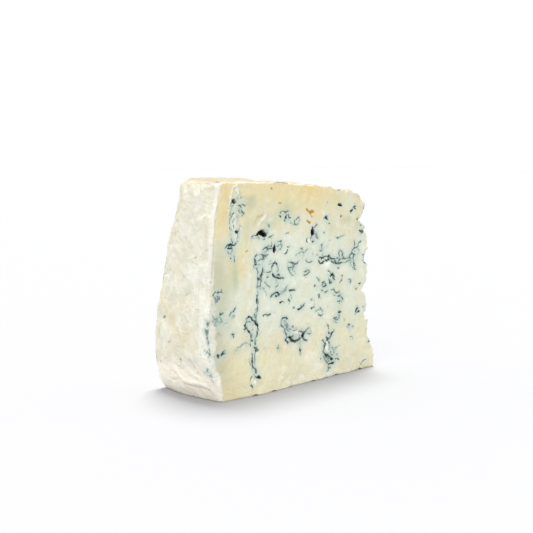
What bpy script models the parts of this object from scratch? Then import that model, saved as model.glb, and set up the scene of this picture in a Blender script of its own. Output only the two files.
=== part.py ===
"""A wedge of blue cheese, about an eighteenth of a whole wheel, standing on the wheel's flat underside.

+Z is up and is the wheel's axis direction. -X faces the rind and +X the thin broken tip. The cut face on
the -Y side is the show face. The origin is the middle of the wedge's box, on the surface it stands on.

The wedge is a cube divided into a lattice, whose points are then carried to the wheel: `along` runs from
the tip (0) to the rind (1), `up` from the underside (0) to the top (1), `across` from the show face (0) to
the back face (1).
"""

import itertools
import math

import bmesh
import bpy
import numpy as np

# The wheel, in metres
HEIGHT = 0.1303  # the wheel stands this high at its rim
RIM_RADIUS = 0.1646  # from the wheel's axis to the rim of its underside
BULGE = 0.0092  # how far the rind swells out past that rim
BELLY_SHOW = 0.042  # height of the widest place, at the show face
BELLY_BACK = 0.026  # and at the back face
FOOT_ANGLE = math.radians(30)  # where the round foot leaves the underside
TAPER = 0.0090  # how far the rind draws in again by the top rim
TAPER_POWER = 1.6
TOP_ROUND = 0.0060  # radius of the top rim
FOOT_SHARE, RIM_SHARE = 0.30, 0.93  # shares of the rind's rows where its foot ends and its top rim starts

# The cut
HALF_ANGLE = math.radians(9.775)  # of the wedge, at its foot
BACK_TOP_ANGLE = math.radians(3.4)  # the back cut leans in to this
LEAN_FROM, LEAN_TO = 0.018, 0.117  # heights between which it leans in
LEAN_POWER = 1.7
LEAN_SOFTNESS = 0.08  # how gently the lean ends
TIP_RADIUS = 0.0105  # the tip broke off this far from the axis
AXIS_X = 0.09175  # where the wheel's axis stands, so that the origin is mid-box

# The tip's ragged edge
TIP_TOP = 0.1215  # the top has come down to this height at the tip
TIP_STEP = 0.0070  # the tip draws back this much above its toe
TOE_LOW, TOE_HIGH = 0.010, 0.034  # heights between which it does
TIP_BITES = (  # (height, depth, reach above, reach below)
    (0.1030, 0.0110, 0.0130, 0.0042),
    (0.0945, 0.0040, 0.0030, 0.0040),
    (0.0760, 0.0042, 0.0110, 0.0036),
    (0.0555, 0.0070, 0.0070, 0.0100),
    (0.0384, 0.0014, 0.0040, 0.0040),
)
BITE_POWER = 1.4
CORNER_RISE = 0.0105  # the broken top corner starts this far under the top
CORNER_DEPTH = 0.0120
CORNER_POWER = 1.4

# The top
TOP_CROWN = 0.0030  # it stands this proud midway between the rind and the tip
LIFT = 0.0027  # the back of the rind stands this much higher than the front

# Relief
SWELL = 0.0036  # the show face swells out at its foot
SWELL_AT, SWELL_WIDE, SWELL_HIGH = 0.028, 0.026, 0.020
RIND_LUMPS = ((0.026, 0.0013), (0.011, 0.0006))  # (size, height)
CUT_WAVES = ((0.018, 0.0007), (0.007, 0.0003))
TIP_CRAGS = ((0.009, 0.0010), (0.005, 0.0006))
DRAG = 3.0  # the wire drew the cut's waves out this many times in height

# Openings that the cut laid bare: (from the rim along the cut, height, half width, half height, depth)
HOLES = (
    (0.0124, 0.1193, 0.0026, 0.0024, 0.0034),
    (0.0372, 0.0988, 0.0046, 0.0024, 0.0044),
    (0.0494, 0.0888, 0.0022, 0.0030, 0.0030),
    (0.0868, 0.0975, 0.0026, 0.0034, 0.0038),
    (0.1014, 0.1063, 0.0026, 0.0024, 0.0030),
    (0.1162, 0.1138, 0.0026, 0.0022, 0.0026),
    (0.1085, 0.0672, 0.0030, 0.0026, 0.0030),
    (0.0700, 0.0296, 0.0085, 0.0028, 0.0030),
    (0.1035, 0.0205, 0.0030, 0.0052, 0.0034),
    (0.1140, 0.0772, 0.0150, 0.0026, 0.0022),
)
CHANNELS = (  # needle channels: (from the rim at its bottom, at its top, bottom, top, half width, depth)
    (0.0288, 0.0365, 0.0100, 0.0840, 0.0024, 0.0022),
    (0.0125, 0.0140, 0.0860, 0.1270, 0.0040, 0.0016),
)

# The lattice
CELLS_ALONG, CELLS_UP, CELLS_ACROSS = 42, 36, 12
SIDE_TOLERANCE = 1e-4  # of the cube's side, for telling which of its faces a point is on

NOISE_SEED = 11
NOISE_SIDE = 32
NOISE_TABLE = np.random.default_rng(NOISE_SEED).uniform(-1, 1, (NOISE_SIDE,) * 3)

PASTE_COLOUR = (0.80, 0.76, 0.58)
PASTE_ROUGHNESS = 0.55
SHARP_ANGLE = math.radians(50)


def clear_scene():
    for obj in list(bpy.data.objects):
        bpy.data.objects.remove(obj, do_unlink=True)


def smooth_step(low, high, value):
    share = np.clip((value - low) / (high - low), 0, 1)
    return share * share * (3 - 2 * share)


def bump(value, middle, half):
    """1 at the middle, falling smoothly to nearly 0 two half widths away."""
    return np.exp(-(((value - middle) / half) ** 2))


def noise(x, y, z, size):
    """Smooth noise from -1 to 1 whose lumps are about `size` across."""
    cells = np.stack([x, y, z]) / size + 4 * NOISE_SIDE
    low = np.floor(cells).astype(int)
    share = cells - low
    share = share * share * (3 - 2 * share)
    total = np.zeros_like(x)
    for corner in itertools.product((0, 1), repeat=3):
        at = [(low[i] + corner[i]) % NOISE_SIDE for i in range(3)]
        weight = np.prod([share[i] if corner[i] else 1 - share[i] for i in range(3)], axis=0)
        total += weight * NOISE_TABLE[at[0], at[1], at[2]]
    return total


def layered(x, y, z, layers):
    return sum(height * noise(x, y, z, size) for size, height in layers)


def rind_profile(up, across):
    """Radius and height of the rind, going evenly up it from the foot to where the top starts."""
    belly = BELLY_SHOW + (BELLY_BACK - BELLY_SHOW) * across
    foot = np.clip(up / FOOT_SHARE, 0, 1)
    side = np.clip((up - FOOT_SHARE) / (RIM_SHARE - FOOT_SHARE), 0, 1)
    turn = np.clip((up - RIM_SHARE) / (1 - RIM_SHARE), 0, 1) * math.pi / 2
    angle = FOOT_ANGLE + (math.pi / 2 - FOOT_ANGLE) * foot
    swell = (np.sin(angle) - math.sin(FOOT_ANGLE)) / (1 - math.sin(FOOT_ANGLE))
    rise = 1 - np.cos(angle) / math.cos(FOOT_ANGLE)
    radius = RIM_RADIUS + BULGE * swell - TAPER * side**TAPER_POWER - TOP_ROUND * (1 - np.cos(turn))
    height = belly * rise + (HEIGHT - TOP_ROUND - belly) * side + TOP_ROUND * np.sin(turn)
    return radius, height


def tip_radius(height):
    """How far from the axis the ragged tip stands at a height."""
    bites = np.zeros_like(height)
    for at, depth, above, below in TIP_BITES:
        reach = np.where(height > at, above, below)
        share = np.clip(1 - np.abs(height - at) / reach, 0, 1)
        bites = np.maximum(bites, depth * share**BITE_POWER)
    corner = np.clip((height - TIP_TOP) / CORNER_RISE + 1, 0, 1)
    step = TIP_STEP * smooth_step(TOE_LOW, TOE_HIGH, height)
    return TIP_RADIUS + step + bites + CORNER_DEPTH * corner**CORNER_POWER


def openings(from_rim, height):
    """Depth of the holes and needle channels in the show face."""
    depth = np.zeros_like(height)
    for at, high, half_wide, half_high, deep in HOLES:
        depth = np.maximum(depth, deep * bump(from_rim, at, half_wide) * bump(height, high, half_high))
    for low_at, high_at, low, high, half_wide, deep in CHANNELS:
        at = low_at + (high_at - low_at) * (height - low) / (high - low)
        inside = smooth_step(low, low + half_wide, height) * (1 - smooth_step(high - half_wide, high, height))
        depth = np.maximum(depth, deep * bump(from_rim, at, half_wide) * inside)
    return depth


def capped(value, softness):
    """The value, rounded off gently to 1 where it would pass it."""
    return 1 - softness * np.log1p(np.exp((1 - value) / softness))


def cut_angle(height, across):
    """The angle about the axis, from the show face to the back face, which leans in towards the top."""
    rise = np.maximum(height - LEAN_FROM, 0) / (LEAN_TO - LEAN_FROM)
    lean = capped(rise**LEAN_POWER, LEAN_SOFTNESS)
    back_angle = HALF_ANGLE + (BACK_TOP_ANGLE - HALF_ANGLE) * lean
    return -HALF_ANGLE * (1 - across) + back_angle * across


def carried(along, up, across):
    """The lattice's points on the wedge, in metres."""
    rind_radius, rind_height = rind_profile(up, across)
    tip_height = TIP_TOP * up
    radius = tip_radius(tip_height) * (1 - along) + rind_radius * along
    height = tip_height * (1 - along) + rind_height * along
    height = height + (TOP_CROWN * 4 * along * (1 - along) + LIFT * across * along) * up
    from_rim = RIM_RADIUS - radius

    angle = cut_angle(height, across)
    outward = np.stack([-np.cos(angle), np.sin(angle)])  # away from the axis, in plan
    sideways = np.stack([np.sin(angle), np.cos(angle)])  # from the show face to the back face
    x, y = radius * outward

    on_tip, on_rind = (np.isclose(along, side, atol=SIDE_TOLERANCE) for side in (0, 1))
    on_base, on_top = (np.isclose(up, side, atol=SIDE_TOLERANCE) for side in (0, 1))
    on_show, on_back = (np.isclose(across, side, atol=SIDE_TOLERANCE) for side in (0, 1))

    cut_waves = layered(x, y, height / DRAG, CUT_WAVES)
    swell = SWELL * bump(from_rim, SWELL_AT, SWELL_WIDE) * bump(height, 0, SWELL_HIGH)
    show_relief = on_show * (cut_waves + swell - openings(from_rim, height))
    back_relief = on_back * cut_waves
    rind_relief = on_rind * layered(x, y, height, RIND_LUMPS)
    tip_relief = on_tip * layered(x, y, height, TIP_CRAGS)
    top_relief = on_top * layered(x, y, height, CUT_WAVES)

    x, y = (x, y) + (back_relief - show_relief) * sideways + (rind_relief - tip_relief) * outward
    z = np.where(on_base, 0, height + top_relief)
    return np.stack([x + AXIS_X, y, z], axis=-1)


def divided_cube():
    """A unit cube from 0 to 1 whose faces are grids of the lattice's cells."""
    lattice = bmesh.new()
    bmesh.ops.create_cube(lattice, size=1)
    bmesh.ops.translate(lattice, verts=lattice.verts, vec=(0.5, 0.5, 0.5))
    for axis, cells in enumerate((CELLS_ALONG, CELLS_UP, CELLS_ACROSS)):
        lengthwise = [
            edge
            for edge in lattice.edges
            if abs(edge.verts[0].co[axis] - edge.verts[1].co[axis]) > 0.5
        ]
        bmesh.ops.subdivide_edges(lattice, edges=lengthwise, cuts=cells - 1, use_grid_fill=True)
    return lattice


def finish_material(name, colour, roughness):
    material = bpy.data.materials.new(name)
    material.use_nodes = True
    shader = material.node_tree.nodes["Principled BSDF"]
    shader.inputs["Base Color"].default_value = (*colour, 1)
    shader.inputs["Roughness"].default_value = roughness
    shader.inputs["Metallic"].default_value = 0
    return material


def make_wedge(collection):
    lattice = divided_cube()
    places = np.array([vertex.co for vertex in lattice.verts])
    for vertex, place in zip(lattice.verts, carried(*places.T)):
        vertex.co = place
    mesh = bpy.data.meshes.new("cheese_wedge")
    lattice.to_mesh(mesh)
    lattice.free()
    mesh.shade_smooth()
    mesh.set_sharp_from_angle(angle=SHARP_ANGLE)
    mesh.materials.append(finish_material("blue_cheese", PASTE_COLOUR, PASTE_ROUGHNESS))
    wedge = bpy.data.objects.new("cheese_wedge", mesh)
    collection.objects.link(wedge)
    return wedge


clear_scene()
cheese = bpy.data.collections.new("blue_cheese_wedge")
bpy.context.scene.collection.children.link(cheese)
make_wedge(cheese)
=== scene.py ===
"""The looks of a wedge of blue cheese: its cut and broken surfaces, veins, rind and colours.

Lengths are in metres, and in millimetres where a comment says so, as in the tables of what the cut laid
bare. A place on a cut face is (from the rim along the cut, height), counted from the rim of the wheel's
underside.

The wedge is a cube divided into a lattice, finer where there is more to show, whose points are carried
to the wheel: `along` runs from the tip (0) to the rind (1), `up` from the underside (0) to the top (1),
`across` from the show face (0) to the back face (1).
"""

import itertools
import math

import bmesh
import bpy
import numpy as np
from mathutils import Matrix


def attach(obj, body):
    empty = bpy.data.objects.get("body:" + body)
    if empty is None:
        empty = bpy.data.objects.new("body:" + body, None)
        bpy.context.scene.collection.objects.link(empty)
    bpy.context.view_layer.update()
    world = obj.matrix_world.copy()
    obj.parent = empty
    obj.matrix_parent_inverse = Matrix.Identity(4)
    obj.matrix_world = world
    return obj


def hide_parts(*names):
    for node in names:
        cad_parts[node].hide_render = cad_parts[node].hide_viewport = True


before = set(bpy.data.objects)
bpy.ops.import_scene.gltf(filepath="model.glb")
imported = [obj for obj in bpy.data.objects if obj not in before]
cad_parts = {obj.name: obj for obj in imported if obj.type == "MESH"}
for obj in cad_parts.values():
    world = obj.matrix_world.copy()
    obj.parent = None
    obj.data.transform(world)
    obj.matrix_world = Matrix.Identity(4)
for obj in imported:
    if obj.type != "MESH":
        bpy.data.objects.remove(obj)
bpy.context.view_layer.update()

MM = 0.001

# The wheel
HEIGHT = 0.1303
RIM_RADIUS = 0.1646
BULGE = 0.0092
BELLY_SHOW = 0.042
BELLY_BACK = 0.026
FOOT_ANGLE = math.radians(30)
TAPER = 0.0090
TAPER_POWER = 1.6
TOP_ROUND = 0.0060
TOP_CORNER_ROUND = 0.0020
ROUND_FROM, ROUND_TO = 0.0, 0.35
FOOT_SHARE, RIM_SHARE = 0.30, 0.93

# The cut
HALF_ANGLE = math.radians(9.775)
BACK_TOP_ANGLE = math.radians(3.4)
LEAN_FROM, LEAN_TO = 0.018, 0.117
LEAN_POWER = 1.7
LEAN_SOFTNESS = 0.08
TIP_RADIUS = 0.0105
AXIS_X = 0.09175

# The tip's ragged edge
TIP_TOP = 0.1215
TIP_STEP = 0.0070
TOE_LOW, TOE_HIGH = 0.008, 0.038
TIP_BITES = (  # (height, depth, reach above, reach below)
    (0.1172, 0.0020, 0.0014, 0.0016),
    (0.1098, 0.0058, 0.0018, 0.0030),
    (0.1035, 0.0108, 0.0110, 0.0084),
    (0.0962, 0.0045, 0.0060, 0.0045),
    (0.0748, 0.0048, 0.0090, 0.0030),
    (0.0550, 0.0070, 0.0080, 0.0100),
    (0.0376, 0.0028, 0.0040, 0.0056),
    (0.0190, 0.0022, 0.0160, 0.0110),
)
BITE_POWER = 1.4
BITE_FADE = 4
CORNER_RISE = 0.0105
CORNER_DEPTH = 0.0120
CORNER_POWER = 1.4

# The top
TOP_CROWN = 0.0030
LIFT = 0.0027

# Relief, as in the solid: (size, height)
SWELL = 0.0036
SWELL_AT, SWELL_WIDE, SWELL_HIGH = 0.028, 0.026, 0.020
RIND_LUMPS = ((0.026, 0.0013), (0.011, 0.0006))
CUT_WAVES = ((0.018, 0.0007), (0.007, 0.0003))
TIP_CRAGS = ((0.009, 0.0010), (0.005, 0.0006))
DRAG = 3.0

# Finer relief
DRAG_LINES = ((0.0030, 0.00016), (0.0014, 0.00007))
FINE_DRAG = 7.0
CRUMBS = ((0.0055, 0.00035), (0.0026, 0.00026), (0.0013, 0.00013))
CRUMBS_PASTE, CRUMBS_VEIN = 0.6, 0.8
TIP_CRUMBS = ((0.0062, 0.00055), (0.0026, 0.00042))
TORN_REACH, TORN_FULL = 0.016, 0.002  # How near the tip the cut faces start to be torn, and fully are
CREST, CREST_FALL, CREST_ROUND = 1.3, 3, 0.01  # A crest's height, how steeply it falls, how round it is
RIND_WRINKLES = ((0.0065, 0.00095), (0.0032, 0.00055), (0.0016, 0.00022))
WRINKLE_STRETCH = (1, 1, 1.4)
TOP_WRINKLES = 0.6
TOP_PLEATS = ((0.0040, 0.0005),)
PLEAT_STRETCH = (2, 0.5, 1)
PLEAT_REACH = (0.060, 0.010)
# At the foot the rind's wrinkles and leaves are weaker than above, and its folds stronger, by these shares,
# which turn to 1 between these heights, in millimetres
CALM_HIGH = (6, 26)
FOOT_WRINKLES, FOOT_LEAVES, FOOT_FOLDS = 0.35, 0.5, 1.3
# Along the top and bottom edges of the show face, in millimetres: (from the rim, half width, height)
TOP_CRUMBS = (
    (126, 1.7, 1.5), (121.6, 1.0, 0.7), (130.5, 0.9, 0.6), (117, 1.0, 0.5), (79.5, 1.4, 0.4), (112, 0.8, 0.4),
)
CRUMB_IN, CRUMB_DEEP = 0.6, 1.2  # How far in a crumb's middle is, and how deep it is in half widths
BASE_NICKS = (
    (26.5, 1.8, 0.8), (43.5, 2.0, 0.8), (61, 1.4, 0.5), (85, 2.2, 0.6), (99, 1.8, 0.4), (111, 2.4, 0.6),
    (138, 2.0, 1.2),
)
NICK_REACH = 0.0030
# The foot of the show face, where the cheese has spread: (from the rim and half width, in millimetres, height
# and how far, in metres)
FOOT_SPREAD = (
    (84, 54, 0.016, 0.0021),
    (84, 60, 0.004, 0.0008),
    (32, 6, 0.003, 0.0006),
    (50, 6, 0.003, 0.0006),
    (124, 6, 0.003, 0.0006),
)
# The foot of the rind, which stands out a little at the back
FOOT_FLARE, FLARE_HIGH = 0.0021, 0.011
FLARE_ACROSS = (0.15, 0.9)  # From where to where across it grows
# The dry rind's leaves: the height in metres, and otherwise in millimetres
LEAF = 0.0004
LEAF_SIZE, LEAF_LENGTH, LEAF_SHARPNESS = 5.5, 2.2, 2.6
LEAF_BEND, LEAF_BEND_SIZE = 2.4, 9.0
LEAF_SLANTS = ((0.75, 3), (-0.5, 13))  # (angle, the noise's level)
GROOVE = 0.00085
RIND_GROOVE = 0.5 * GROOVE
LIP = 0.00022
LIP_PLACE = (0.7, 0.6)  # Off a vein's edge, in millimetres: (middle, half width)
RIDGE = 0.0006
# An edge's round, its share of a narrow wedge's width, and how far a face draws in at it, in rounds
EDGE_ROUND = 0.0016
NARROW_ROUND = 0.35
EDGE_DRAW = 0.293
BASE_SHARPNESS = 4  # How many times sharper the foot's edges are
CHIP, CHIP_SIZE = 0.9, 0.006  # How uneven the rounds are, and the size of the uneven stretches

# The lattice
CELLS_ALONG, CELLS_UP, CELLS_ACROSS = 96, 80, 34
SIDE_TOLERANCE = 1e-4
CUT_LENGTH, CUT_HEIGHT = 0.150, 0.125  # What turns its shares into distances from the wedge's edges
# Cells are halved this near to a vein and to an edge, in millimetres, and on the whole rind or not
HALVINGS = ((2.2, 1.7, True), (0.55, -1, False))
# Where the wedge is narrower than this, in millimetres, its top and underside stay as they are
NARROW = 20

NOISE_SEED = 11
NOISE_SIDE = 32
NOISE_TABLE = np.random.default_rng(NOISE_SEED).uniform(-1, 1, (NOISE_SIDE,) * 3)

# What the cut laid bare, in millimetres. A stroke is (half width, darkness, place, place, ...).
UPPER_NEEDLE = (
    (0.4, 0.3, (12.8, 129), (11.6, 125.5), (11.8, 122)),
    (0.35, 0.25, (17, 129), (17.4, 125), (18.6, 121.5)),
    (0.4, 0.4, (10.6, 115), (9.4, 110.5), (9.8, 106)),
    (0.45, 0.45, (9.8, 105), (9.2, 101), (10, 97), (11.4, 95)),
    (0.35, 0.4, (16.8, 108.5), (17.8, 104.5), (16.6, 101.6)),
    (0.35, 0.35, (13.4, 110), (12.2, 107), (13.2, 104), (12.4, 101)),
    (0.35, 0.35, (14.6, 127), (14.8, 123), (15.8, 119)),
    (0.35, 0.6, (9.8, 118.8), (9.9, 117), (10.3, 116.3), (12.2, 117.2)),
    (0.4, 0.75, (16.3, 117), (19, 116.8), (21, 117.2), (22.8, 116.4)),
    (0.4, 0.7, (18.6, 117), (19.3, 115.6), (19.8, 115)),
    (0.5, 1.0, (19.7, 113.4), (20.5, 112.6), (21.5, 112)),
    (0.4, 0.55, (16, 115.2), (17.5, 113.2), (19.5, 112)),
    (0.5, 0.45, (18.6, 121.5), (19.2, 121)),
    (0.5, 0.4, (15, 121.3), (15.6, 121)),
    (0.35, 0.45, (12.8, 112.5), (11.2, 110.3), (10.4, 108.5)),
    (0.3, 0.4, (15.2, 111), (15.4, 109.5)),
    (0.5, 1.0, (14, 101.2), (14.8, 101), (16.2, 100.7)),
    (0.35, 0.55, (16.2, 100), (16.4, 98), (15.7, 96.2), (14.5, 94.8)),
    (0.5, 0.9, (5.6, 91.8), (5.8, 93.2), (6.6, 94)),
    (0.4, 0.6, (6.6, 94), (8.2, 93.2), (10, 94)),
    (0.5, 0.95, (8, 93.7), (10, 94.2), (12, 93.4), (14.3, 94.3)),
    (0.5, 1.0, (7.2, 91.6), (8.8, 91.1), (10.2, 91.2)),
    (0.4, 0.6, (10.4, 93.8), (11, 91.4), (11.2, 89.5)),
    (0.35, 0.45, (7, 89.3), (8.5, 88.7), (10.2, 88.3)),
    (0.55, 0.8, (9.6, 85.7), (10.2, 85.5)),
    (0.6, 0.55, (12.8, 86.8), (12.5, 84.5), (12.6, 83)),
)
UPPER_LEFT = (
    (0.5, 0.6, (34, 99.6), (32, 98.3), (30.3, 98.2), (28.8, 98), (28.4, 96.6)),
    (0.35, 0.4, (32.5, 97.2), (35, 96.4), (37.5, 95.4), (41, 95.1)),
    (0.4, 0.4, (37.5, 101), (40, 101.2), (42.3, 100.9)),
    (0.5, 0.35, (42.3, 99.2), (43, 98.8)),
    (0.6, 0.5, (40.3, 98.6), (40.2, 96.5), (40, 95.4)),
    (0.8, 0.4, (44.5, 104), (45, 103)),
    (0.4, 0.55, (44.8, 96.4), (47, 97), (49.2, 97.6)),
    (0.6, 0.45, (60.6, 97.5), (62, 97.9), (63.2, 97.8)),
)
ARCHES = (
    (0.5, 0.5, (55.5, 111), (57, 112), (59, 111.9), (60.5, 111.3), (62.8, 111.9)),
    (0.7, 0.75, (55.5, 109.2), (56.2, 108.8)),
    (0.5, 0.45, (61.2, 110.8), (61.8, 109.2), (60.6, 108), (59.8, 106.5), (60.2, 105.6)),
    (0.6, 0.55, (60.5, 108.3), (61.5, 108)),
    (0.6, 0.55, (63, 109.3), (64.3, 107.6), (65, 107.3)),
    (0.4, 0.35, (64.3, 107), (63.2, 106.2)),
    (0.4, 0.4, (64.5, 105.2), (66, 104.3), (68, 104.2)),
    (0.6, 0.55, (68.4, 105.8), (68.6, 104), (70.2, 102.9), (72.3, 103.6), (73.4, 105.5), (72.6, 107)),
    (0.5, 0.5, (70, 106.4), (71.5, 107.3), (72.6, 107.6)),
)
MIDDLE_HOLE = (
    (0.6, 0.85, (50.6, 91.4), (50.2, 90)),
    (0.45, 0.6, (38.4, 88.9), (40.5, 89.9), (42.8, 90.3)),
    (0.45, 0.6, (43.2, 90.2), (45.3, 90.6), (47, 91)),
    (0.55, 0.65, (43, 89.2), (45.5, 89.1), (47.6, 89.3)),
    (0.4, 0.4, (39.5, 87.4), (42, 88), (43.5, 88.8)),
    (0.55, 0.6, (53.3, 93.1), (55, 93), (56.4, 93.2)),
    (0.5, 0.55, (55.3, 92), (56, 91.2), (57.3, 89.6)),
    (0.4, 0.4, (54.6, 91.6), (53, 90.3), (52, 90.2)),
    (0.4, 0.35, (52.5, 88.2), (54, 87.9), (56, 88.5)),
    (0.6, 0.5, (63.3, 89.3), (64.8, 89.2)),
    (0.6, 0.55, (63, 87.2), (62.6, 86), (61.6, 85.1), (59.2, 84.9)),
)
LOOPS = (
    (0.5, 0.5, (33, 86.4), (31.8, 85.4), (31.2, 84)),
    (0.8, 0.8, (30.6, 83.2), (31.2, 82.6), (30.6, 81.8)),
    (0.7, 0.8, (31, 80.9), (31.8, 80.5)),
    (0.45, 0.5, (33.3, 86.3), (35.5, 85.7), (38, 86), (40.3, 85.7)),
    (0.6, 0.7, (39, 85.5), (40.5, 85), (42.3, 85.6)),
    (0.5, 0.55, (37.4, 82.8), (38.8, 84.2), (40.6, 84.4), (41.5, 84.2)),
    (0.4, 0.4, (33.8, 82.3), (36, 82.9), (38.5, 83.4), (40.4, 83.1)),
    (0.4, 0.45, (29.8, 79.6), (31, 78.1), (33.3, 77.7)),
    (0.35, 0.35, (33.5, 80.6), (35.5, 79.9), (37.8, 79.7)),
)
LONG_NEEDLE = (
    (0.5, 0.55, (33.2, 77.8), (34.2, 75.5), (34.1, 73), (34.1, 70.5)),
    (0.8, 1.0, (34, 71.3), (34.4, 70.7)),
    (0.45, 0.55, (33.8, 69.5), (33.5, 66.5), (33.6, 63)),
    (0.7, 0.9, (33.5, 61), (33.2, 59), (33.1, 56.5)),
    (0.45, 0.55, (33.3, 55), (33, 52.5), (33, 50.2)),
    (0.5, 0.7, (38.3, 78), (38.3, 75.2), (37.2, 73.2), (37, 71)),
    (0.45, 0.65, (36.9, 70), (36.7, 67.8), (36.5, 66)),
    (0.35, 0.5, (38.2, 75.2), (41, 74.6), (45.5, 75)),
    (0.5, 0.55, (41.8, 71.3), (44.2, 71.6)),
    (0.45, 0.7, (40.4, 68.6), (42, 66.9), (44.8, 65.3)),
    (0.35, 0.4, (40.6, 62), (42.2, 60.6)),
    (0.4, 0.5, (38.6, 65.2), (39.8, 64.6)),
    (0.45, 0.65, (30, 49.8), (30.8, 48.2), (31.4, 46.8)),
    (0.5, 0.7, (33, 49), (32.3, 47.2), (32.3, 45.4)),
    (0.5, 0.85, (30.3, 45.2), (32.2, 45)),
    (0.45, 0.85, (30, 45.2), (28.3, 46.6), (27, 48), (25.4, 48.9), (24, 48.6), (22.9, 47.6)),
    (0.55, 0.7, (22.9, 47.2), (23.3, 45.8), (22.8, 44.8), (21.6, 43.6)),
    (0.5, 0.6, (21.6, 43.4), (22.6, 42.3), (21.2, 41.6)),
    (0.5, 0.65, (22.8, 42.3), (24, 41), (25.6, 39.3), (27.4, 37.6)),
    (0.65, 0.8, (27.6, 37.3), (27.6, 36.3), (27.9, 35.4)),
    (0.55, 0.65, (27.4, 34.2), (28.6, 32.9)),
    (0.45, 0.4, (23.6, 45.4), (25.2, 45.8), (26.8, 45.3)),
    (0.4, 0.35, (26.2, 43.3), (28, 42.6), (29.6, 42.8)),
    (0.55, 0.6, (33.6, 41.8), (33.4, 40.3), (33.3, 39.4)),
    (0.5, 0.5, (32.3, 38.8), (33, 37.2), (32.2, 35.7), (31.3, 34.5), (31.2, 32.5), (31.2, 30.5)),
    (0.55, 0.6, (30.8, 29), (32.3, 28), (33.7, 27.1)),
    (0.5, 0.55, (31.9, 27.8), (31.3, 26.2), (30.5, 24.8), (30.3, 22.5), (30, 20.5), (29.7, 18.6)),
    (0.6, 0.7, (27.2, 25.6), (28.3, 24.6), (28.2, 22.8), (27.6, 21)),
    (0.6, 0.75, (27.5, 21), (27.6, 19), (27.7, 17.3), (29, 16), (29.7, 15.3), (29.4, 13.6)),
    (0.6, 0.8, (27.4, 12.9), (28.6, 11.4), (30, 10.5)),
    (0.8, 0.9, (30, 10.6), (31.8, 10.1)),
    (0.45, 0.45, (26, 11.6), (24.6, 10.6), (24, 8.6), (23.7, 7)),
    (0.6, 0.65, (23.6, 6.4), (24.5, 5.4)),
    (0.35, 0.35, (25.5, 22), (25.8, 18.5), (26.6, 15.5), (27.6, 14)),
    (0.45, 0.45, (14.8, 30.6), (16.5, 30.9), (18.2, 31), (20, 32)),
    (0.5, 0.5, (20, 32), (22.3, 32.8), (25, 32.1), (27, 30.5)),
    (0.4, 0.35, (22.6, 31.4), (23, 30.6)),
)
CENTRE_LOOP = (
    (0.5, 0.45, (45.4, 81.2), (46.6, 81.5)),
    (0.4, 0.35, (43.5, 79.3), (45, 79.4), (46.6, 79.6)),
    (0.5, 0.55, (46.2, 75.4), (47.3, 77.6), (48.6, 79.3)),
    (0.65, 0.85, (48.8, 79.5), (50.3, 79.7), (51.5, 79.2), (52.2, 78)),
    (0.45, 0.5, (52.2, 78), (53, 76), (52.6, 74.2)),
    (0.35, 0.35, (46, 75.3), (47, 74.2), (47.8, 73.2)),
    (0.65, 0.85, (47.8, 73), (49, 71.8), (50.3, 71)),
    (0.5, 0.75, (50.3, 71), (52.5, 70.3), (55, 69.9), (57.5, 69.7)),
    (0.65, 0.7, (57.5, 69.7), (59.2, 69.4)),
    (0.7, 0.8, (53, 72.4), (54.6, 72.1)),
    (0.35, 0.4, (50.8, 71.6), (52.5, 72.2)),
    (0.45, 0.55, (50.4, 65), (52, 65.6), (53.4, 66.5)),
    (0.5, 0.4, (51.2, 68.8), (52, 68.3)),
)
BOW = (
    (0.35, 0.35, (62.6, 79.5), (62.4, 77), (63.2, 75.2)),
    (0.45, 0.5, (63.5, 79.5), (65.5, 79.2), (67, 78.6)),
    (0.6, 0.7, (65.2, 79.2), (67.5, 78.5), (69.8, 77.9), (72.2, 78.6)),
    (0.5, 0.55, (63.8, 76.2), (65.3, 75.6), (66.8, 75.3)),
    (0.5, 0.5, (66, 75.6), (67.8, 76.6), (69.3, 77.5)),
    (0.45, 0.55, (63.2, 75), (64.2, 73.2), (66, 71.6), (67.3, 71)),
    (0.4, 0.4, (66.4, 75), (67.8, 73.8), (69.3, 72.8), (69.7, 71.8)),
    (0.45, 0.5, (70.2, 83.4), (72, 84.2), (74, 84.8)),
    (0.5, 0.5, (75, 85.3), (77, 85.2), (79.2, 85), (81.6, 86.5)),
    (0.65, 0.65, (74.8, 87.4), (76.4, 87.1)),
    (0.35, 0.25, (81.6, 86.5), (85, 86.2), (87, 84.2), (88, 82.2)),
    (0.45, 0.45, (80.2, 79.4), (82, 78.4), (85, 77.8), (88, 78.4)),
    (0.5, 0.6, (78.4, 72.3), (80, 72.3), (82, 73), (84.2, 73.2)),
    (0.55, 0.65, (78.2, 70.3), (80, 70), (82, 70.8), (84.5, 71.6)),
)
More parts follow.
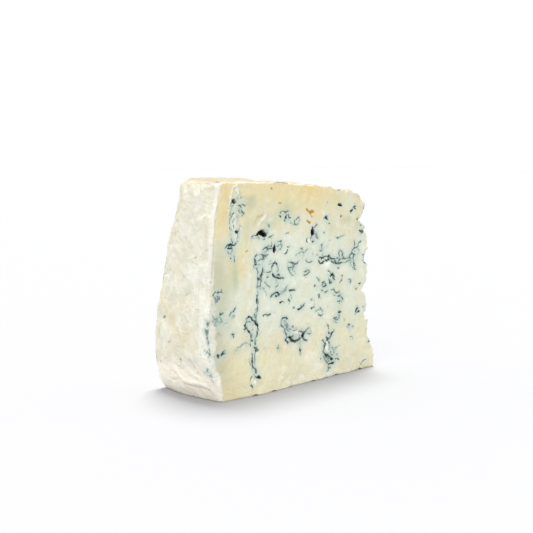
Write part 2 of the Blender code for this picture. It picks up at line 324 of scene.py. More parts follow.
RIGHT_HOLES = (
    (0.55, 0.8, (87, 100.6), (89, 100.5), (90.2, 100.8)),
    (0.45, 0.6, (90.2, 100.8), (92.3, 101.8)),
    (0.7, 0.7, (86.8, 95.8), (86, 94.8), (85.2, 94)),
    (0.55, 0.6, (81.7, 93.4), (80.6, 92.4), (81.3, 91.2), (82.4, 91)),
    (0.65, 0.7, (87.2, 91), (89, 91.2)),
    (0.4, 0.45, (85.2, 93.5), (85.2, 92), (86.5, 91.5)),
    (0.5, 0.55, (89.8, 96.3), (91, 95.8)),
    (0.6, 0.55, (92, 93.8), (93.4, 93)),
    (0.4, 0.4, (88.5, 98.5), (90.5, 97), (91.5, 95), (92, 93.9)),
    (0.5, 0.45, (99, 96.8), (100.3, 96.2)),
    (0.45, 0.6, (98.8, 106.1), (100, 106.6)),
    (0.6, 0.9, (101.8, 106.4), (103, 105.2)),
    (0.35, 0.5, (102, 107), (103.6, 107.3)),
    (0.6, 0.6, (104.4, 102.1), (105.2, 101.9)),
    (0.5, 0.5, (102.6, 116.4), (101.8, 115.2), (101.2, 114.2)),
    (0.6, 0.95, (116.4, 113.8), (118.3, 113.3)),
    (0.4, 0.4, (114.3, 113.8), (114, 112.6)),
    (0.6, 0.55, (114, 124.5), (115.3, 124)),
    (0.6, 0.85, (128.2, 109.7), (129.8, 109.6)),
    (0.4, 0.6, (129.8, 109.6), (131.2, 110.5)),
    (0.5, 0.9, (131.4, 111.8), (132.6, 112), (133.8, 112.8)),
    (0.65, 0.5, (117.2, 106.5), (118.6, 106.7)),
    (0.7, 0.55, (135.4, 103.9), (136.4, 103.7)),
    (0.65, 0.65, (139.8, 99.3), (141, 99.2)),
    (0.55, 0.75, (138.6, 96), (140, 95.2), (140.6, 94.2)),
    (0.6, 0.6, (140.6, 95.3), (142.6, 96.2)),
    (0.6, 0.4, (111, 93.4), (112.6, 92.5), (114.2, 92.2), (116, 92.8)),
    (0.6, 0.4, (116, 92.8), (118, 93.4), (120, 93.2), (122, 94)),
    (0.5, 0.35, (104.5, 91.4), (105.2, 91)),
    (0.5, 0.3, (101.8, 87.2), (103, 87.5)),
    (0.5, 0.3, (108, 84), (109.6, 84.3)),
)
LONG_VEIN = (
    (0.6, 0.8, (93.2, 78.2), (95, 77), (97.3, 76), (99.2, 77.2), (101.5, 78.4), (103.5, 78.9)),
    (0.6, 0.7, (94.4, 80.2), (96.4, 80.1), (98, 79.7)),
    (0.85, 0.85, (97.4, 79.8), (99.4, 79.9)),
    (0.55, 0.75, (99.6, 80.1), (101.5, 80.7), (103.5, 80.4), (105.2, 80.4)),
    (0.5, 0.6, (99.5, 79.4), (101.5, 78.6), (104.2, 78.5)),
    (0.6, 0.8, (105, 80.2), (106.5, 79), (108.5, 78.4), (111.3, 78.2)),
    (0.8, 0.85, (109.6, 78.5), (111, 78.2)),
    (0.45, 0.5, (111.3, 78.2), (113.2, 78.8), (115.3, 79)),
    (0.6, 0.75, (107.3, 77), (108.6, 76.2), (110.2, 75.8)),
    (0.5, 0.55, (111.6, 77.5), (112.6, 76.2)),
    (1.0, 0.85, (112.2, 75.6), (114, 74.9), (115.6, 75.3)),
    (0.7, 0.75, (115.6, 75.3), (118, 75.3)),
    (0.5, 0.55, (114.6, 76.2), (116.2, 77.3), (118.2, 78)),
    (0.45, 0.45, (116.6, 78.2), (119, 77.8), (121, 77.9)),
    (0.6, 0.6, (116.8, 83.7), (118.4, 83), (119.4, 81.4), (120.3, 79.8)),
    (0.55, 0.5, (115.4, 83.8), (115.6, 81.5), (116.4, 79.6)),
    (0.6, 0.6, (120.3, 79.6), (121.6, 78.2), (123.6, 77.8)),
    (0.55, 0.55, (123.6, 77.8), (125.6, 77.6), (127.2, 78.2), (128.2, 79.6)),
    (0.6, 0.65, (127.8, 79.6), (129.5, 80.1), (131.3, 80.6), (133.6, 80.1)),
    (0.45, 0.5, (118.4, 75.2), (121, 75), (124, 75.2), (126.4, 76)),
    (0.4, 0.4, (126.4, 76), (128.4, 76.6), (130.6, 76.8)),
    (0.6, 0.65, (129.4, 80.6), (130.2, 82.2), (131.6, 83.6), (134, 84.3)),
    (0.5, 0.55, (134, 84.3), (136, 84.9), (137.3, 85.9)),
    (0.6, 0.45, (133, 84.8), (133.2, 86.6)),
    (0.7, 0.5, (133.2, 87), (132.8, 89.4)),
    (0.7, 0.7, (137.6, 86.6), (139, 87.3), (140.6, 88.2)),
    (0.5, 0.4, (136.2, 84), (138, 82.6), (137.6, 80.8), (135.5, 80)),
    (0.7, 0.7, (133.4, 79.8), (131.8, 78.3), (131.3, 76.8)),
    (0.7, 0.65, (131.3, 76.8), (131.5, 74.8), (132.8, 73.2), (133, 71.2)),
    (0.45, 0.5, (128, 74.8), (129.2, 72.6), (130.8, 71.3), (132.2, 70.7)),
    (0.55, 0.55, (133, 70), (134.2, 69.2)),
    (0.55, 0.5, (128.2, 79.4), (127.8, 77.8), (129.4, 76.8)),
    (0.6, 0.5, (97.2, 88.4), (96.6, 87), (97.4, 86.4)),
    (0.6, 0.55, (95.4, 84.8), (97, 84.9), (98.8, 85.1)),
    (0.65, 0.5, (91.6, 82.2), (92.6, 82.5)),
    (0.7, 0.7, (115.2, 71.8), (116.4, 71.9)),
)
RIGHT_MIDDLE = (
    (0.75, 0.95, (106.4, 67.4), (108.4, 67.9), (110.6, 67)),
    (0.6, 0.8, (109.3, 66.2), (111, 64.7)),
    (0.5, 0.55, (104.6, 65.4), (105.6, 64), (106.6, 63)),
    (0.6, 0.6, (106, 62.6), (108, 63.1)),
    (0.6, 0.5, (103.2, 70.9), (104.5, 70.6)),
    (0.45, 0.35, (104.8, 69.7), (106.2, 69.3)),
    (0.6, 0.65, (99.8, 64), (98.8, 62.6), (98.2, 61.6)),
    (0.55, 0.6, (100, 63.6), (101.2, 62.2), (101.8, 61)),
    (0.6, 0.75, (98.8, 60.8), (100, 60.6), (101.8, 61.1)),
    (0.7, 0.5, (97.2, 58.5), (98.4, 58.3)),
    (0.7, 0.65, (101, 57.2), (103, 57.1)),
    (0.6, 0.6, (95.4, 55.8), (94.4, 55), (94.6, 54.2)),
    (0.55, 0.5, (92, 67.2), (93.4, 66.2), (94.6, 65)),
    (0.6, 0.45, (89.2, 62), (90.4, 61.8)),
    (0.55, 0.6, (107.2, 58), (109, 57.8), (110.4, 57.6)),
    (0.6, 0.7, (110.4, 57.4), (111.6, 56.4), (113.2, 55.4), (115.4, 55.1), (117.4, 55.9)),
    (0.7, 0.55, (115.2, 53), (117.4, 53)),
    (0.55, 0.6, (117.4, 53), (119, 51.9), (120.4, 50.8), (122, 49.6)),
    (0.45, 0.5, (114.4, 49.2), (117, 49), (119.6, 48.8)),
    (0.5, 0.35, (110.6, 53.8), (112.8, 53.2)),
    (0.65, 0.65, (116.8, 62), (118, 62.6), (119.4, 63.2)),
    (0.6, 0.45, (118.8, 66.4), (119.8, 66.7)),
    (0.85, 0.75, (116.8, 42), (117.8, 41.8)),
    (0.55, 0.6, (117, 41), (116, 40)),
    (0.6, 0.65, (110.8, 38.2), (112.4, 38.6), (113.8, 38.4)),
    (0.55, 0.55, (112.4, 37.4), (114, 37), (115.6, 37.4)),
    (0.6, 0.65, (116.6, 39.2), (116, 37.6)),
    (0.45, 0.4, (110.8, 35.8), (113, 35.3), (114.8, 34.9)),
    (0.6, 0.5, (126.4, 63.3), (128, 63.6), (129.2, 62.6)),
    (0.6, 0.55, (129.4, 62), (129.4, 60)),
    (0.65, 0.6, (138.6, 59.4), (140, 59.2)),
    (0.7, 0.75, (136, 42.6), (136.8, 43)),
    (0.55, 0.65, (135.2, 42), (134, 41)),
    (0.6, 0.7, (134.4, 40.7), (136.2, 40.1), (138.2, 40.4)),
    (0.6, 0.45, (142, 43), (144, 42.9)),
    (0.8, 0.7, (127.2, 32.2), (128.2, 32)),
    (0.65, 0.6, (125.6, 30.9), (126.6, 30.4)),
    (0.85, 0.55, (130.6, 30.6), (131.6, 30.3)),
    (0.55, 0.6, (128.4, 23.7), (130, 23.6), (131.2, 22.9), (132, 22.2)),
    (0.6, 0.7, (148, 21.2), (149.8, 20.7)),
    (0.65, 0.8, (148, 17.8), (150.4, 18.3)),
    (0.4, 0.5, (139.4, 2.4), (141.4, 4), (143.4, 5.4), (145.4, 6)),
    (0.4, 0.35, (146.8, 4.6), (148.2, 4.9)),
    (0.5, 0.35, (122.4, 36.2), (123.2, 35.8)),
    (0.6, 0.65, (141, 79.2), (142, 79)),
    (0.5, 0.45, (142.2, 77.6), (143.6, 76.8)),
    (0.6, 0.5, (142.2, 75.2), (144, 73.6), (146, 73.2)),
    (0.3, 0.75, (134.9, 56.2), (135.3, 55.9)),
)
BIG_VEIN = (
    (0.5, 0.75, (56, 40), (56.2, 42.6), (57.6, 44.2), (60, 44.6)),
    (0.65, 0.75, (60, 44.5), (61.4, 43.7)),
    (0.55, 0.7, (56, 40.4), (56.6, 39.2)),
    (0.45, 0.65, (57, 39), (58.6, 37.4), (60, 35.4), (60.6, 33.4), (61, 31.6)),
    (0.4, 0.5, (59.6, 42.6), (60.6, 41), (61.8, 40)),
    (0.4, 0.5, (58.4, 41.4), (59.4, 39.6), (60.8, 38.2)),
    (0.4, 0.5, (61.2, 38.6), (62, 37.2), (61.8, 35.8)),
    (0.4, 0.4, (60, 41.6), (61.2, 40.2), (62.6, 39.2), (63.4, 38.2)),
    (0.5, 0.45, (64.8, 36.8), (66.4, 36.2)),
    (0.6, 0.4, (67.4, 37.8), (68.6, 37.4)),
    (0.45, 0.4, (60.6, 37.4), (62.2, 36), (63.6, 35.4), (64.2, 34.2)),
    (0.65, 0.55, (60, 33), (61.4, 33.2)),
    (0.45, 0.55, (60, 31), (62, 31.6), (64.4, 31.5)),
    (1.0, 0.95, (63.2, 31.4), (64.6, 30.8), (65.4, 29.6)),
    (0.75, 0.9, (65.4, 29.6), (67.5, 28.4), (70, 27.7), (72.4, 28.2)),
    (0.65, 0.85, (72.4, 28.2), (74.6, 29.3), (76.6, 30.2)),
    (1.1, 0.85, (76.6, 30.4), (78, 31), (79.2, 32)),
    (0.55, 0.55, (59.8, 30.4), (61, 29), (62.4, 27.4)),
    (0.4, 0.4, (66.4, 36), (68.4, 35), (71.6, 35)),
    (0.35, 0.35, (66.4, 31.8), (68.4, 31.9), (70.6, 32.3)),
    (0.6, 0.55, (73.2, 33.6), (75, 33.9), (77.4, 32.8)),
    (0.6, 0.7, (79.2, 32.6), (81, 33.7), (82.6, 34)),
    (0.5, 0.55, (82.6, 34.3), (84.2, 35.2)),
    (0.4, 0.4, (84.4, 35), (85.4, 33.6), (86.3, 32.2), (86.2, 31)),
    (0.55, 0.7, (76.6, 30), (78, 28.6), (80, 27.7), (81.8, 27.2)),
    (0.6, 0.45, (82, 32), (83.6, 31.2), (84.8, 31.2)),
    (0.45, 0.4, (73, 27.4), (74.2, 25.8), (75, 24)),
    (0.7, 0.6, (74.6, 22.6), (75, 21), (75, 18.8)),
    (0.4, 0.35, (73.4, 21.8), (76, 22)),
)
LEFT_MIDDLE = (
    (0.6, 0.6, (45.8, 59), (46.8, 58.8)),
    (0.45, 0.6, (46.8, 59.4), (49, 60.2), (50.6, 61.1)),
    (0.6, 0.75, (50, 61), (52, 61.3), (53.4, 60.8)),
    (0.8, 0.85, (52.4, 61.1), (53.6, 60.3), (55, 59.4)),
    (0.6, 0.65, (50.8, 58.6), (52.4, 58.8), (54, 59.4)),
    (0.4, 0.5, (55.5, 61), (58, 62), (60.5, 63.5), (62.6, 64.3)),
    (0.5, 0.5, (57.5, 60.8), (60, 61.7), (61, 62.8)),
    (0.6, 0.65, (64.2, 61), (65.8, 61.5), (67.2, 61.4), (69.2, 60.8)),
    (0.45, 0.45, (65, 58), (66, 57.6)),
    (0.65, 0.75, (62.8, 55.6), (64, 54.7)),
    (0.55, 0.7, (55, 54.3), (57, 54.6), (58.6, 54.7)),
    (0.55, 0.6, (39.2, 48), (40.8, 48.4), (42.6, 47.9)),
    (0.55, 0.6, (43.2, 47.8), (45, 48.3)),
    (0.6, 0.5, (67.6, 50.3), (69, 50.1)),
    (0.6, 1.0, (72.4, 48.4), (74, 48.4), (76, 49), (77.8, 50.4)),
    (0.4, 0.6, (76.8, 50.8), (78.4, 51.6)),
    (0.55, 0.5, (86, 53.5), (87.6, 52.9), (89, 52.1)),
    (0.7, 0.75, (86.6, 47.3), (88, 48), (89.2, 48.1)),
    (0.45, 0.5, (90.8, 45.3), (92.6, 45.6), (94.6, 46.2)),
    (0.45, 0.45, (95.5, 47.2), (96.6, 46), (97.2, 45), (98.6, 44.4)),
    (0.55, 0.5, (94, 42.8), (96.4, 41.9), (98.2, 42.1)),
    (0.4, 0.3, (72, 64.2), (72.4, 62.8), (73.2, 61.2)),
    (0.85, 0.65, (52.2, 26.1), (53.2, 25.8)),
    (0.5, 0.4, (39.4, 27.3), (40.2, 26.3)),
    (0.5, 0.35, (35.4, 36.6), (36.6, 36.9)),
    (0.6, 0.65, (0.4, 52.4), (1.4, 52.8)),
    (0.7, 0.65, (1.8, 53.1), (2.8, 53.2)),
    (0.45, 0.75, (11, 53.4), (12.2, 54.2), (13.8, 55)),
    (0.4, 0.5, (7.9, 51.2), (8.6, 52), (9.6, 53.6)),
    (0.45, 0.4, (9.4, 50.2), (11, 49.8)),
    (0.45, 0.45, (11.2, 51), (12.6, 50.2)),
    (0.6, 0.9, (11, 39.6), (12.2, 39)),
    (0.4, 0.5, (9.8, 40), (11, 40.2)),
    (0.6, 0.55, (-1.4, 40.7), (-0.4, 41.3)),
    (0.45, 0.65, (-3, 28.6), (-2.2, 27.8), (-1.2, 27.4)),
    (0.5, 0.85, (-1.8, 28.2), (-1.2, 27.2)),
    (0.55, 0.9, (1.2, 28.2), (2, 29), (2.8, 30)),
    (0.35, 0.5, (0.4, 27), (1.4, 27.4), (3.4, 28.6)),
    (0.35, 0.4, (3.2, 31), (4.2, 30.4), (4.8, 29.2)),
    (0.7, 0.55, (-6.2, 49), (-5.4, 48.9)),
    (0.6, 0.4, (-3.2, 51.6), (-2.6, 49.8), (-3.2, 48.2)),
    (0.5, 0.35, (-4, 46.4), (-2.6, 45.8)),
    (0.6, 0.6, (-5.4, 64.4), (-4.2, 66), (-3.4, 66.4)),
    (0.6, 0.6, (-1.8, 65.6), (0, 66.2), (1.8, 66)),
    (0.6, 0.55, (-4, 63.4), (-3.4, 61.6), (-3.8, 60)),
    (0.5, 0.5, (-2.4, 64), (-1.6, 62.4), (-2.2, 60.4)),
    (0.5, 0.45, (-0.4, 63.6), (-0.2, 61.8)),
    (0.6, 0.5, (-6.4, 52.6), (-5.4, 50.8), (-6, 48.4)),
    (0.5, 0.5, (-4.6, 51), (-4.2, 48.8), (-4.8, 46.4)),
    (0.5, 0.45, (-1.4, 51.4), (0.4, 50.6), (1.2, 49)),
    (0.5, 0.45, (-0.6, 48.4), (1.4, 47.6), (3, 48.4)),
    (0.5, 0.3, (4.6, 46.4), (6.4, 47)),
)
LOWER_KNOT = (
    (0.7, 0.8, (104.2, 34.6), (105.2, 33.6)),
    (0.75, 0.85, (105.8, 29.4), (107, 29)),
    (0.65, 0.85, (111.2, 30.2), (109.6, 28.9), (108, 27.2)),
    (0.6, 0.75, (108, 27.2), (106.6, 25.8), (105, 25.2)),
    (0.55, 0.75, (102.6, 27), (103.8, 26.4)),
    (0.55, 0.75, (103.6, 24.4), (102, 22.8), (101, 21.4)),
    (0.6, 0.7, (100.6, 22.6), (101.8, 22.8)),
    (0.5, 0.65, (98.6, 22), (99.8, 20.6)),
    (0.55, 0.7, (100.2, 20.8), (99.2, 19), (98.2, 17.6)),
    (0.55, 0.7, (105.6, 24.2), (106.6, 22.4), (107, 20.4)),
    (0.45, 0.6, (107, 20.4), (106.4, 18.4), (105.4, 17.4)),
    (0.45, 0.65, (97.2, 25.3), (98.6, 24.4), (100, 23.9)),
    (0.7, 0.75, (97.8, 17.6), (98.8, 17.2)),
    (0.6, 0.8, (98.8, 17), (100.2, 15.6), (102, 14.8), (104, 14.6)),
    (0.6, 0.75, (101, 14.4), (103.2, 13.6)),
    (0.5, 0.7, (104, 14.6), (106, 13.4), (107.6, 12)),
    (0.65, 0.9, (107.6, 11.8), (109, 10.8)),
    (0.45, 0.5, (108.4, 19.2), (109.8, 18), (110.8, 16.2), (110.4, 14.6)),
    (0.45, 0.45, (107, 16.4), (108, 14.8), (109.4, 13.2)),
    (0.5, 0.65, (98.6, 14.4), (99.8, 12.2), (101.4, 10.2)),
    (0.55, 0.75, (101.4, 10.2), (103, 8.8), (105.4, 8.5)),
    (0.75, 0.9, (105.6, 8.5), (107.6, 8.5), (109.8, 8.2)),
    (0.45, 0.6, (100, 13.4), (102.4, 12.4), (104.6, 11), (106.4, 10.2)),
    (0.45, 0.55, (102.6, 14), (104.6, 12.6), (106.2, 11.6)),
    (0.4, 0.45, (101.2, 11.8), (103, 10.4), (105, 9.8)),
    (0.45, 0.5, (112.6, 17.6), (114.4, 18.2), (116.4, 18.2)),
    (0.75, 0.55, (112.6, 10.8), (114, 10.6), (115.4, 10)),
    (0.45, 0.4, (113.6, 13.8), (114.8, 13.6)),
    (0.4, 0.45, (105.6, 5.6), (104, 5.8), (103, 6.4)),
    (0.45, 0.45, (103.4, 5.2), (102, 4.2), (101.4, 3.8)),
    (0.45, 0.5, (95, 13.6), (95.5, 13)),
)
SHOW_VEINS = (
    UPPER_NEEDLE + UPPER_LEFT + ARCHES + MIDDLE_HOLE + LOOPS + LONG_NEEDLE + CENTRE_LOOP + BOW + RIGHT_HOLES
    + LONG_VEIN + RIGHT_MIDDLE + BIG_VEIN + LEFT_MIDDLE + LOWER_KNOT
)

# Dark holes: (from the rim, height, half width, half height, tilt in degrees, depth)
SHOW_HOLES = (
    (12.4, 119.3, 1.5, 1.1, -25, 3.0),
    (38.2, 98.9, 3.6, 1.7, -20, 4.4),
    (33.6, 98.7, 2.2, 0.8, 12, 2.2),
    (49.5, 88.6, 1.2, 2.1, -15, 3.0),
    (86.9, 97.6, 1.8, 2.3, -20, 3.8),
    (101.6, 106.3, 1.5, 0.8, -35, 2.4),
    (116.0, 114.0, 2.1, 0.75, -18, 2.0),
    (108.2, 68.2, 1.5, 0.7, -12, 2.4),
    (104.4, 25.0, 0.9, 1.3, 20, 2.4),
    (32.2, 43.2, 2.0, 0.8, -35, 2.4),
    (64.0, 31.0, 1.4, 0.7, 0, 1.6),
    (77.6, 31.0, 1.7, 1.0, 30, 1.8),
    (108.4, 11.2, 1.0, 0.7, -20, 1.4),
    (31.4, 10.3, 1.2, 0.8, 0, 1.6),
)

# Soft patches: (from the rim, height, half width, half height, strength)
BLUE_PATCHES = (
    (12.5, 113, 4.5, 14, 0.45), (13, 98, 3.6, 8, 0.45), (12.5, 89, 2, 4, 0.5), (36, 96, 6, 2.5, 0.5),
    (36, 82, 6, 4.5, 0.6), (36, 72, 3, 9, 0.6), (34.5, 58, 2.2, 10, 0.55), (29.5, 40, 4.5, 8, 0.45),
    (29.5, 22, 2, 12, 0.5), (48, 90, 9, 3, 0.4), (54.5, 90.5, 4, 3.5, 0.45), (62, 107.5, 5, 3, 0.4),
    (70.8, 105, 3.4, 3, 0.5), (47, 70, 12, 9, 0.35), (67, 75.5, 4.5, 4.5, 0.5), (77, 83, 8, 5, 0.45),
    (84, 80, 8, 6, 0.35), (81, 71.5, 4, 2.5, 0.4), (90, 95, 5, 5, 0.6), (87, 93, 2.5, 3, 0.6),
    (97, 86, 4, 5, 0.5), (100, 78.5, 7, 2.5, 0.4), (115, 77, 8, 2.5, 0.35), (117.5, 81, 3, 3.5, 0.35),
    (127, 77.5, 6, 2, 0.5), (132, 80, 5, 7, 0.55), (101, 60, 7, 6, 0.35), (107.5, 65, 4, 3, 0.5),
    (93, 64, 4, 4.5, 0.35), (116, 52, 5, 4, 0.5), (115.5, 44, 3.5, 10, 0.5), (114, 37.5, 5, 3, 0.5),
    (128, 61, 3.2, 3, 0.5), (136, 41, 3, 3, 0.35), (128.5, 30.5, 4, 3, 0.45), (130, 22.5, 3, 2, 0.35),
    (58.5, 42, 3, 3, 0.45), (63.5, 35.5, 4.5, 4.5, 0.5), (72, 31.5, 7, 3.5, 0.5),
    (81, 31.5, 5.5, 3.5, 0.45), (75, 25, 2.5, 4, 0.35), (103.5, 20, 4, 6, 0.5), (105.5, 12, 5, 5, 0.6),
    (111, 14, 4.5, 6, 0.35), (103.5, 5, 3, 2.5, 0.4), (-3, 63, 4, 5, 0.6), (-3, 49, 5, 5, 0.6),
    (4, 46, 6, 4, 0.3), (7, 42, 5, 4, 0.3), (11, 52, 4, 3, 0.3), (55, 60, 8, 4, 0.35),
    (59, 63, 5, 2.5, 0.3), (-9.5, 42, 2.5, 9, 0.3), (-9.5, 18, 3, 5, 0.3),
)
WHITE_PATCHES = (
    (13.2, 106, 2.6, 9, 0.5), (15.4, 126, 2.6, 3.5, 0.6), (10.4, 124.5, 1.2, 5, 0.5),
    (15.6, 98, 1.6, 4, 0.3), (103.6, 21, 2.2, 3.2, 0.9), (83.3, 92.2, 1.6, 1.4, 0.8),
    (103, 75, 4.5, 2, 0.8), (120, 71, 7, 4, 0.4), (72, 40, 6, 4, 0.3), (84, 17, 9, 7, 0.4),
    (92, 8, 10, 4, 0.4), (26.4, 8, 1.8, 3.2, 0.7), (72, 33, 4, 1.6, 0.5), (29, 41, 2.5, 2.5, 0.4),
    (24.5, 74.5, 2.5, 3, 0.35), (27, 70, 2, 2, 0.3), (30, 52, 2.5, 3, 0.35), (53.4, 7, 1.5, 1.6, 0.75),
    (59, 3, 2.4, 1.5, 0.7), (66, 1, 2.4, 0.9, 0.7), (94, 1, 6, 0.9, 0.5), (104, 2.4, 4, 3, 0.5),
    (118, 1.4, 6, 1, 0.5), (132, 2.2, 2.6, 1.1, 0.8), (146, 3, 5, 1.4, 0.4), (64, 3.4, 3, 2, 0.3),
    (79, 124.5, 1.6, 0.9, 0.5), (98, 124.8, 2, 0.8, 0.5), (123, 121, 2, 4, 0.4), (38, 107, 3, 2, 0.4),
)
GREEN_PATCHES = (
    (25, 119, 6, 4, 0.45), (13.5, 77, 3.5, 9, 0.4), (44.5, 103, 4, 3, 0.35), (60, 110, 9, 5, 0.35),
    (124, 103.5, 6, 4, 0.4), (140, 100, 6, 8, 0.35), (14.5, 28, 3, 3, 0.45), (4, 29, 3, 2.5, 0.35),
    (52.5, 25.5, 4, 2.5, 0.45), (135, 11, 5, 4, 0.3), (105, 100, 7, 8, 0.25), (2, 56, 5, 4, 0.3),
    (42, 106, 13, 8, 0.3), (62, 115, 7, 5, 0.3), (30, 119, 6, 5, 0.22), (4, 66, 6, 8, 0.3),
    (13, 72, 2.5, 10, 0.4), (24, 101, 6, 9, 0.25), (5, 90, 4, 6, 0.2),
)

# Ochre marks and raised pale lips, as strokes
OCHRE_MARKS = (
    (1.15, 1.0, (81.2, 112.1), (82.8, 110.9), (84.6, 110.3), (87.4, 110.8)),
    (0.9, 0.6, (85, 110), (85, 108.8), (86.4, 107.2)),
    (0.8, 0.9, (81.3, 105), (82.8, 104.5), (84.2, 103.9)),
    (1.1, 0.42, (39.4, 112.8), (38.6, 111), (36.4, 109.4), (34.5, 109)),
    (1.3, 0.36, (34.5, 110), (32.8, 108.4), (31.6, 105.6), (31.4, 103.6)),
    (0.9, 0.6, (22.2, 88.5), (23.8, 89.2)),
    (0.9, 0.7, (46.8, 126.7), (47.5, 126.6)),
    (0.9, 0.65, (54.8, 117.3), (56, 117.3)),
    (0.5, 0.9, (134.8, 56.2), (135.3, 56)),
    (0.8, 0.4, (103, 47.2), (104, 46.8)),
)
LIPS = (
    (0.6, 0.9, (14.5, 129.5), (11.5, 127.2), (9.8, 124), (9.2, 119), (8, 112.5)),
    (0.5, 0.7, (8.6, 110.5), (8, 105), (8.4, 101), (9.4, 96.5)),
    (0.5, 0.6, (20.8, 124.5), (20.9, 119.5), (22, 117.5)),
    (0.9, 0.9, (41, 110), (38.4, 107.8), (36, 106.4), (33.8, 104.4)),
    (0.5, 0.5, (17.5, 107), (18, 104), (17.4, 99)),
    (0.6, 0.6, (36, 50), (39, 53), (43, 55.5)),
    (0.6, 0.8, (51.8, 9), (53, 7.4), (54.6, 6.4)),
    (0.5, 0.7, (57, 4.8), (59.4, 3), (61.6, 3.4)),
    (0.5, 0.7, (64, 1.8), (66, 1.1), (68.4, 1.3)),
    (0.5, 0.6, (90, 1), (94, 1.2), (98, 0.8)),
    (0.5, 0.6, (113, 1.6), (118, 1.1), (123, 1.3)),
    (0.6, 0.8, (129, 2.6), (131.6, 1.7), (134.6, 1.9)),
)

# How the marks are drawn, in millimetres. A noise's level only picks one noise apart from another.
FRAY = ((2.6, 0.45), (1.0, 0.30))  # (size, shift)
FRAY_LEVELS = (21, 27)
FAR = 99.0  # The distance of a place that no stroke is near
STROKE_STEP = 0.3  # How far apart the points of a stroke's line are
STROKE_EDGE = 4  # How sharply it darkens at its edge, as a power
THIN = 0.76  # How much of its half width it is drawn with
UNEVEN_WIDTH, WIDTH_SIZE, WIDTH_LEVEL = 0.55, 1.5, 9
UNEVEN_DARK, DARK_SIZE, DARK_LEVEL = 0.35, 1.8, 5
BLOOM_REACH = 1.7
BLOOM_STRENGTH = 0.80
BLOOM_POWER = 0.8
TINT_REACH = 4.5
TINT_STRENGTH = 0.24
TINT_MARGIN = 2.5 * TINT_REACH
# Offshoots: one for so many points of a stroke's line, and the ranges that the rest is drawn from. The turn
# away from the line and the bend are in radians, and the darkness is a share of the stroke's own.
BRANCH_SPACING = 9
BRANCH_TURN = (0.4, 1.5)
BRANCH_LENGTH = (0.8, 2.6)
BRANCH_BEND = (-0.6, 0.6)
BRANCH_GAPS = (0.0, 0.0, 1.1)
BRANCH_HALF = (0.26, 0.42)
BRANCH_DARK = (0.4, 0.8)
PATCH_FRAY = ((5.0, 1.6, 0), (2.2, 0.8, 3))  # (size, shift, level)
PATCH_RISE = ((5.0, 1.6, 11),)
BLUE_BLOOM, BLUE_TINT = 0.7, 0.6
# In shares of a hole's own size, from where its wall or its shade starts to where it is full
HOLE_WALL = (1.12, 0.6)
HOLE_SHADE = (1.28, 1.05)
FOLD_STEP = 0.4
FOLD_END_POINTS, FOLD_END_SHARE = 4, 0.25  # A fold fades over its last points, to this share
CORNER_REACH = 12  # How far the rind's marks go round the corner onto the show face

# How yellow the paste is. Patches: (from the rim, height, half width, half height, how much), in millimetres
YELLOW_BASE = 0.16
YELLOW_PATCHES = (
    (12, 84, 15, 24, 0.45), (8, 8, 14, 13, 0.65), (88, 4, 26, 18, -0.45), (26, 74, 8, 16, 0.30),
    (46, 113, 9, 8, -0.22), (88, 126, 16, 6, 0.5), (4, 103, 7, 10, 0.45), (45, 60, 18, 30, -0.15),
)
# Slopes: (how much, from what height to what height, from where to where from the rim)
ANYWHERE = (-200, -199)
YELLOW_SLOPES = (
    (0.84, (88, 123), ANYWHERE),
    (0.66, (62, 0), ANYWHERE),
    (-0.32, (100, 116), (90, 118)),
    (-0.22, (32, 6), (90, 106)),
)
# And behind the rind, under the top: how much, (from the rim, half width), (from what height to what height)
YELLOW_RIND, YELLOW_RIND_AT, YELLOW_RIND_HIGH = 0.35, (2, 8), (98, 118)

# Where the finish changes. A pair is where a share starts and where it is full, or a bump's middle and half
# width. These are in metres:
# How deep a crease is where its painted shade is full, and how high a fold is where its painted highlight is
# full
FULL_CREASE_SHADE = 0.0005
FOLD_HIGHLIGHT = 0.0007
THIN_SKIN = (0.0011, 0.0004)
RIM_INWARD = (0.0004, 0.0030)
RIM_TIP = 0.006
PLEAT_LOOK_REACH = (0.075, 0.020)
WORN_SIZE = 0.006
BAND_FRAY = ((0.007, 1.4), (0.003, 0.6))  # (size in metres, shift in millimetres)
# These are in millimetres. A band of rind shows along the cut faces, wider in the middle than at the ends:
BAND, BAND_MORE, BAND_LESS = 1.0, 3.4, 1.9
BAND_MORE_HIGH, BAND_LESS_HIGH = (84, 54), (16, 4)
# Between these heights the crests' painted shade and highlight grow weaker
CREST_CALM_HIGH = (60, 100)
MOULD_DEPTH, MOULD_BELOW, MOULD_ABOVE = (1, 4), (80, 66), (8, 18)
WORN_PLACE = (0.3, 0.9)
LOW_HIGH = (60, 10)
DULL_DEPTH, DULL_BELOW, DULL_ABOVE = (5, 11), (104, 76), (-4, 24)
TIP_DULL_AT = (86, 120)
# And these are shares:
BAND_END, BAND_FULL = 1.6, 0.4
# How much weaker the crests' painted shade and highlight are high up
CREST_CALM = 0.4
RIDGE_FOLD = 0.6
# The most painted highlight that a fold's ridge gets
FOLD_HIGHLIGHT_MOST = 0.8
# How much of the top's darker skin, which is painted shade against the lamp from above, the rind's rim, the
# top's edges and the top along the cut faces get
RIM_TOP, RIM_EDGE_TOP, RIM_CUT_TOP = 0.6, 0.62, 0.22
RIM_RIND = 0.75
RIND_MOULD = 0.45
WORN_SPOTS, WORN_FOOT = (-0.1, 0.3), 0.8
TIP_DULL = 0.16
MOST_YELLOW = 1.6

# The lattice's shares: those that start at 0, and those that the finish is made from
MARKS = (
    "ink", "bloom", "tint", "green", "white", "ochre", "lip", "black", "ridge", "blotch", "pale", "pink",
)
FIELDS = MARKS + ("hole_depth", "near", "folds", "leaves")
SHARES = MARKS + ("rind", "yellow", "low", "dull", "top", "crest_shade_and_highlight", "pleat", "crease_shade")


def smooth_step(low, high, value):
    share = np.clip((value - low) / (high - low), 0, 1)
    return share * share * (3 - 2 * share)


def bump(value, middle, half):
    """1 at the middle, falling smoothly to nearly 0 two half widths away."""
    return np.exp(-(((value - middle) / half) ** 2))


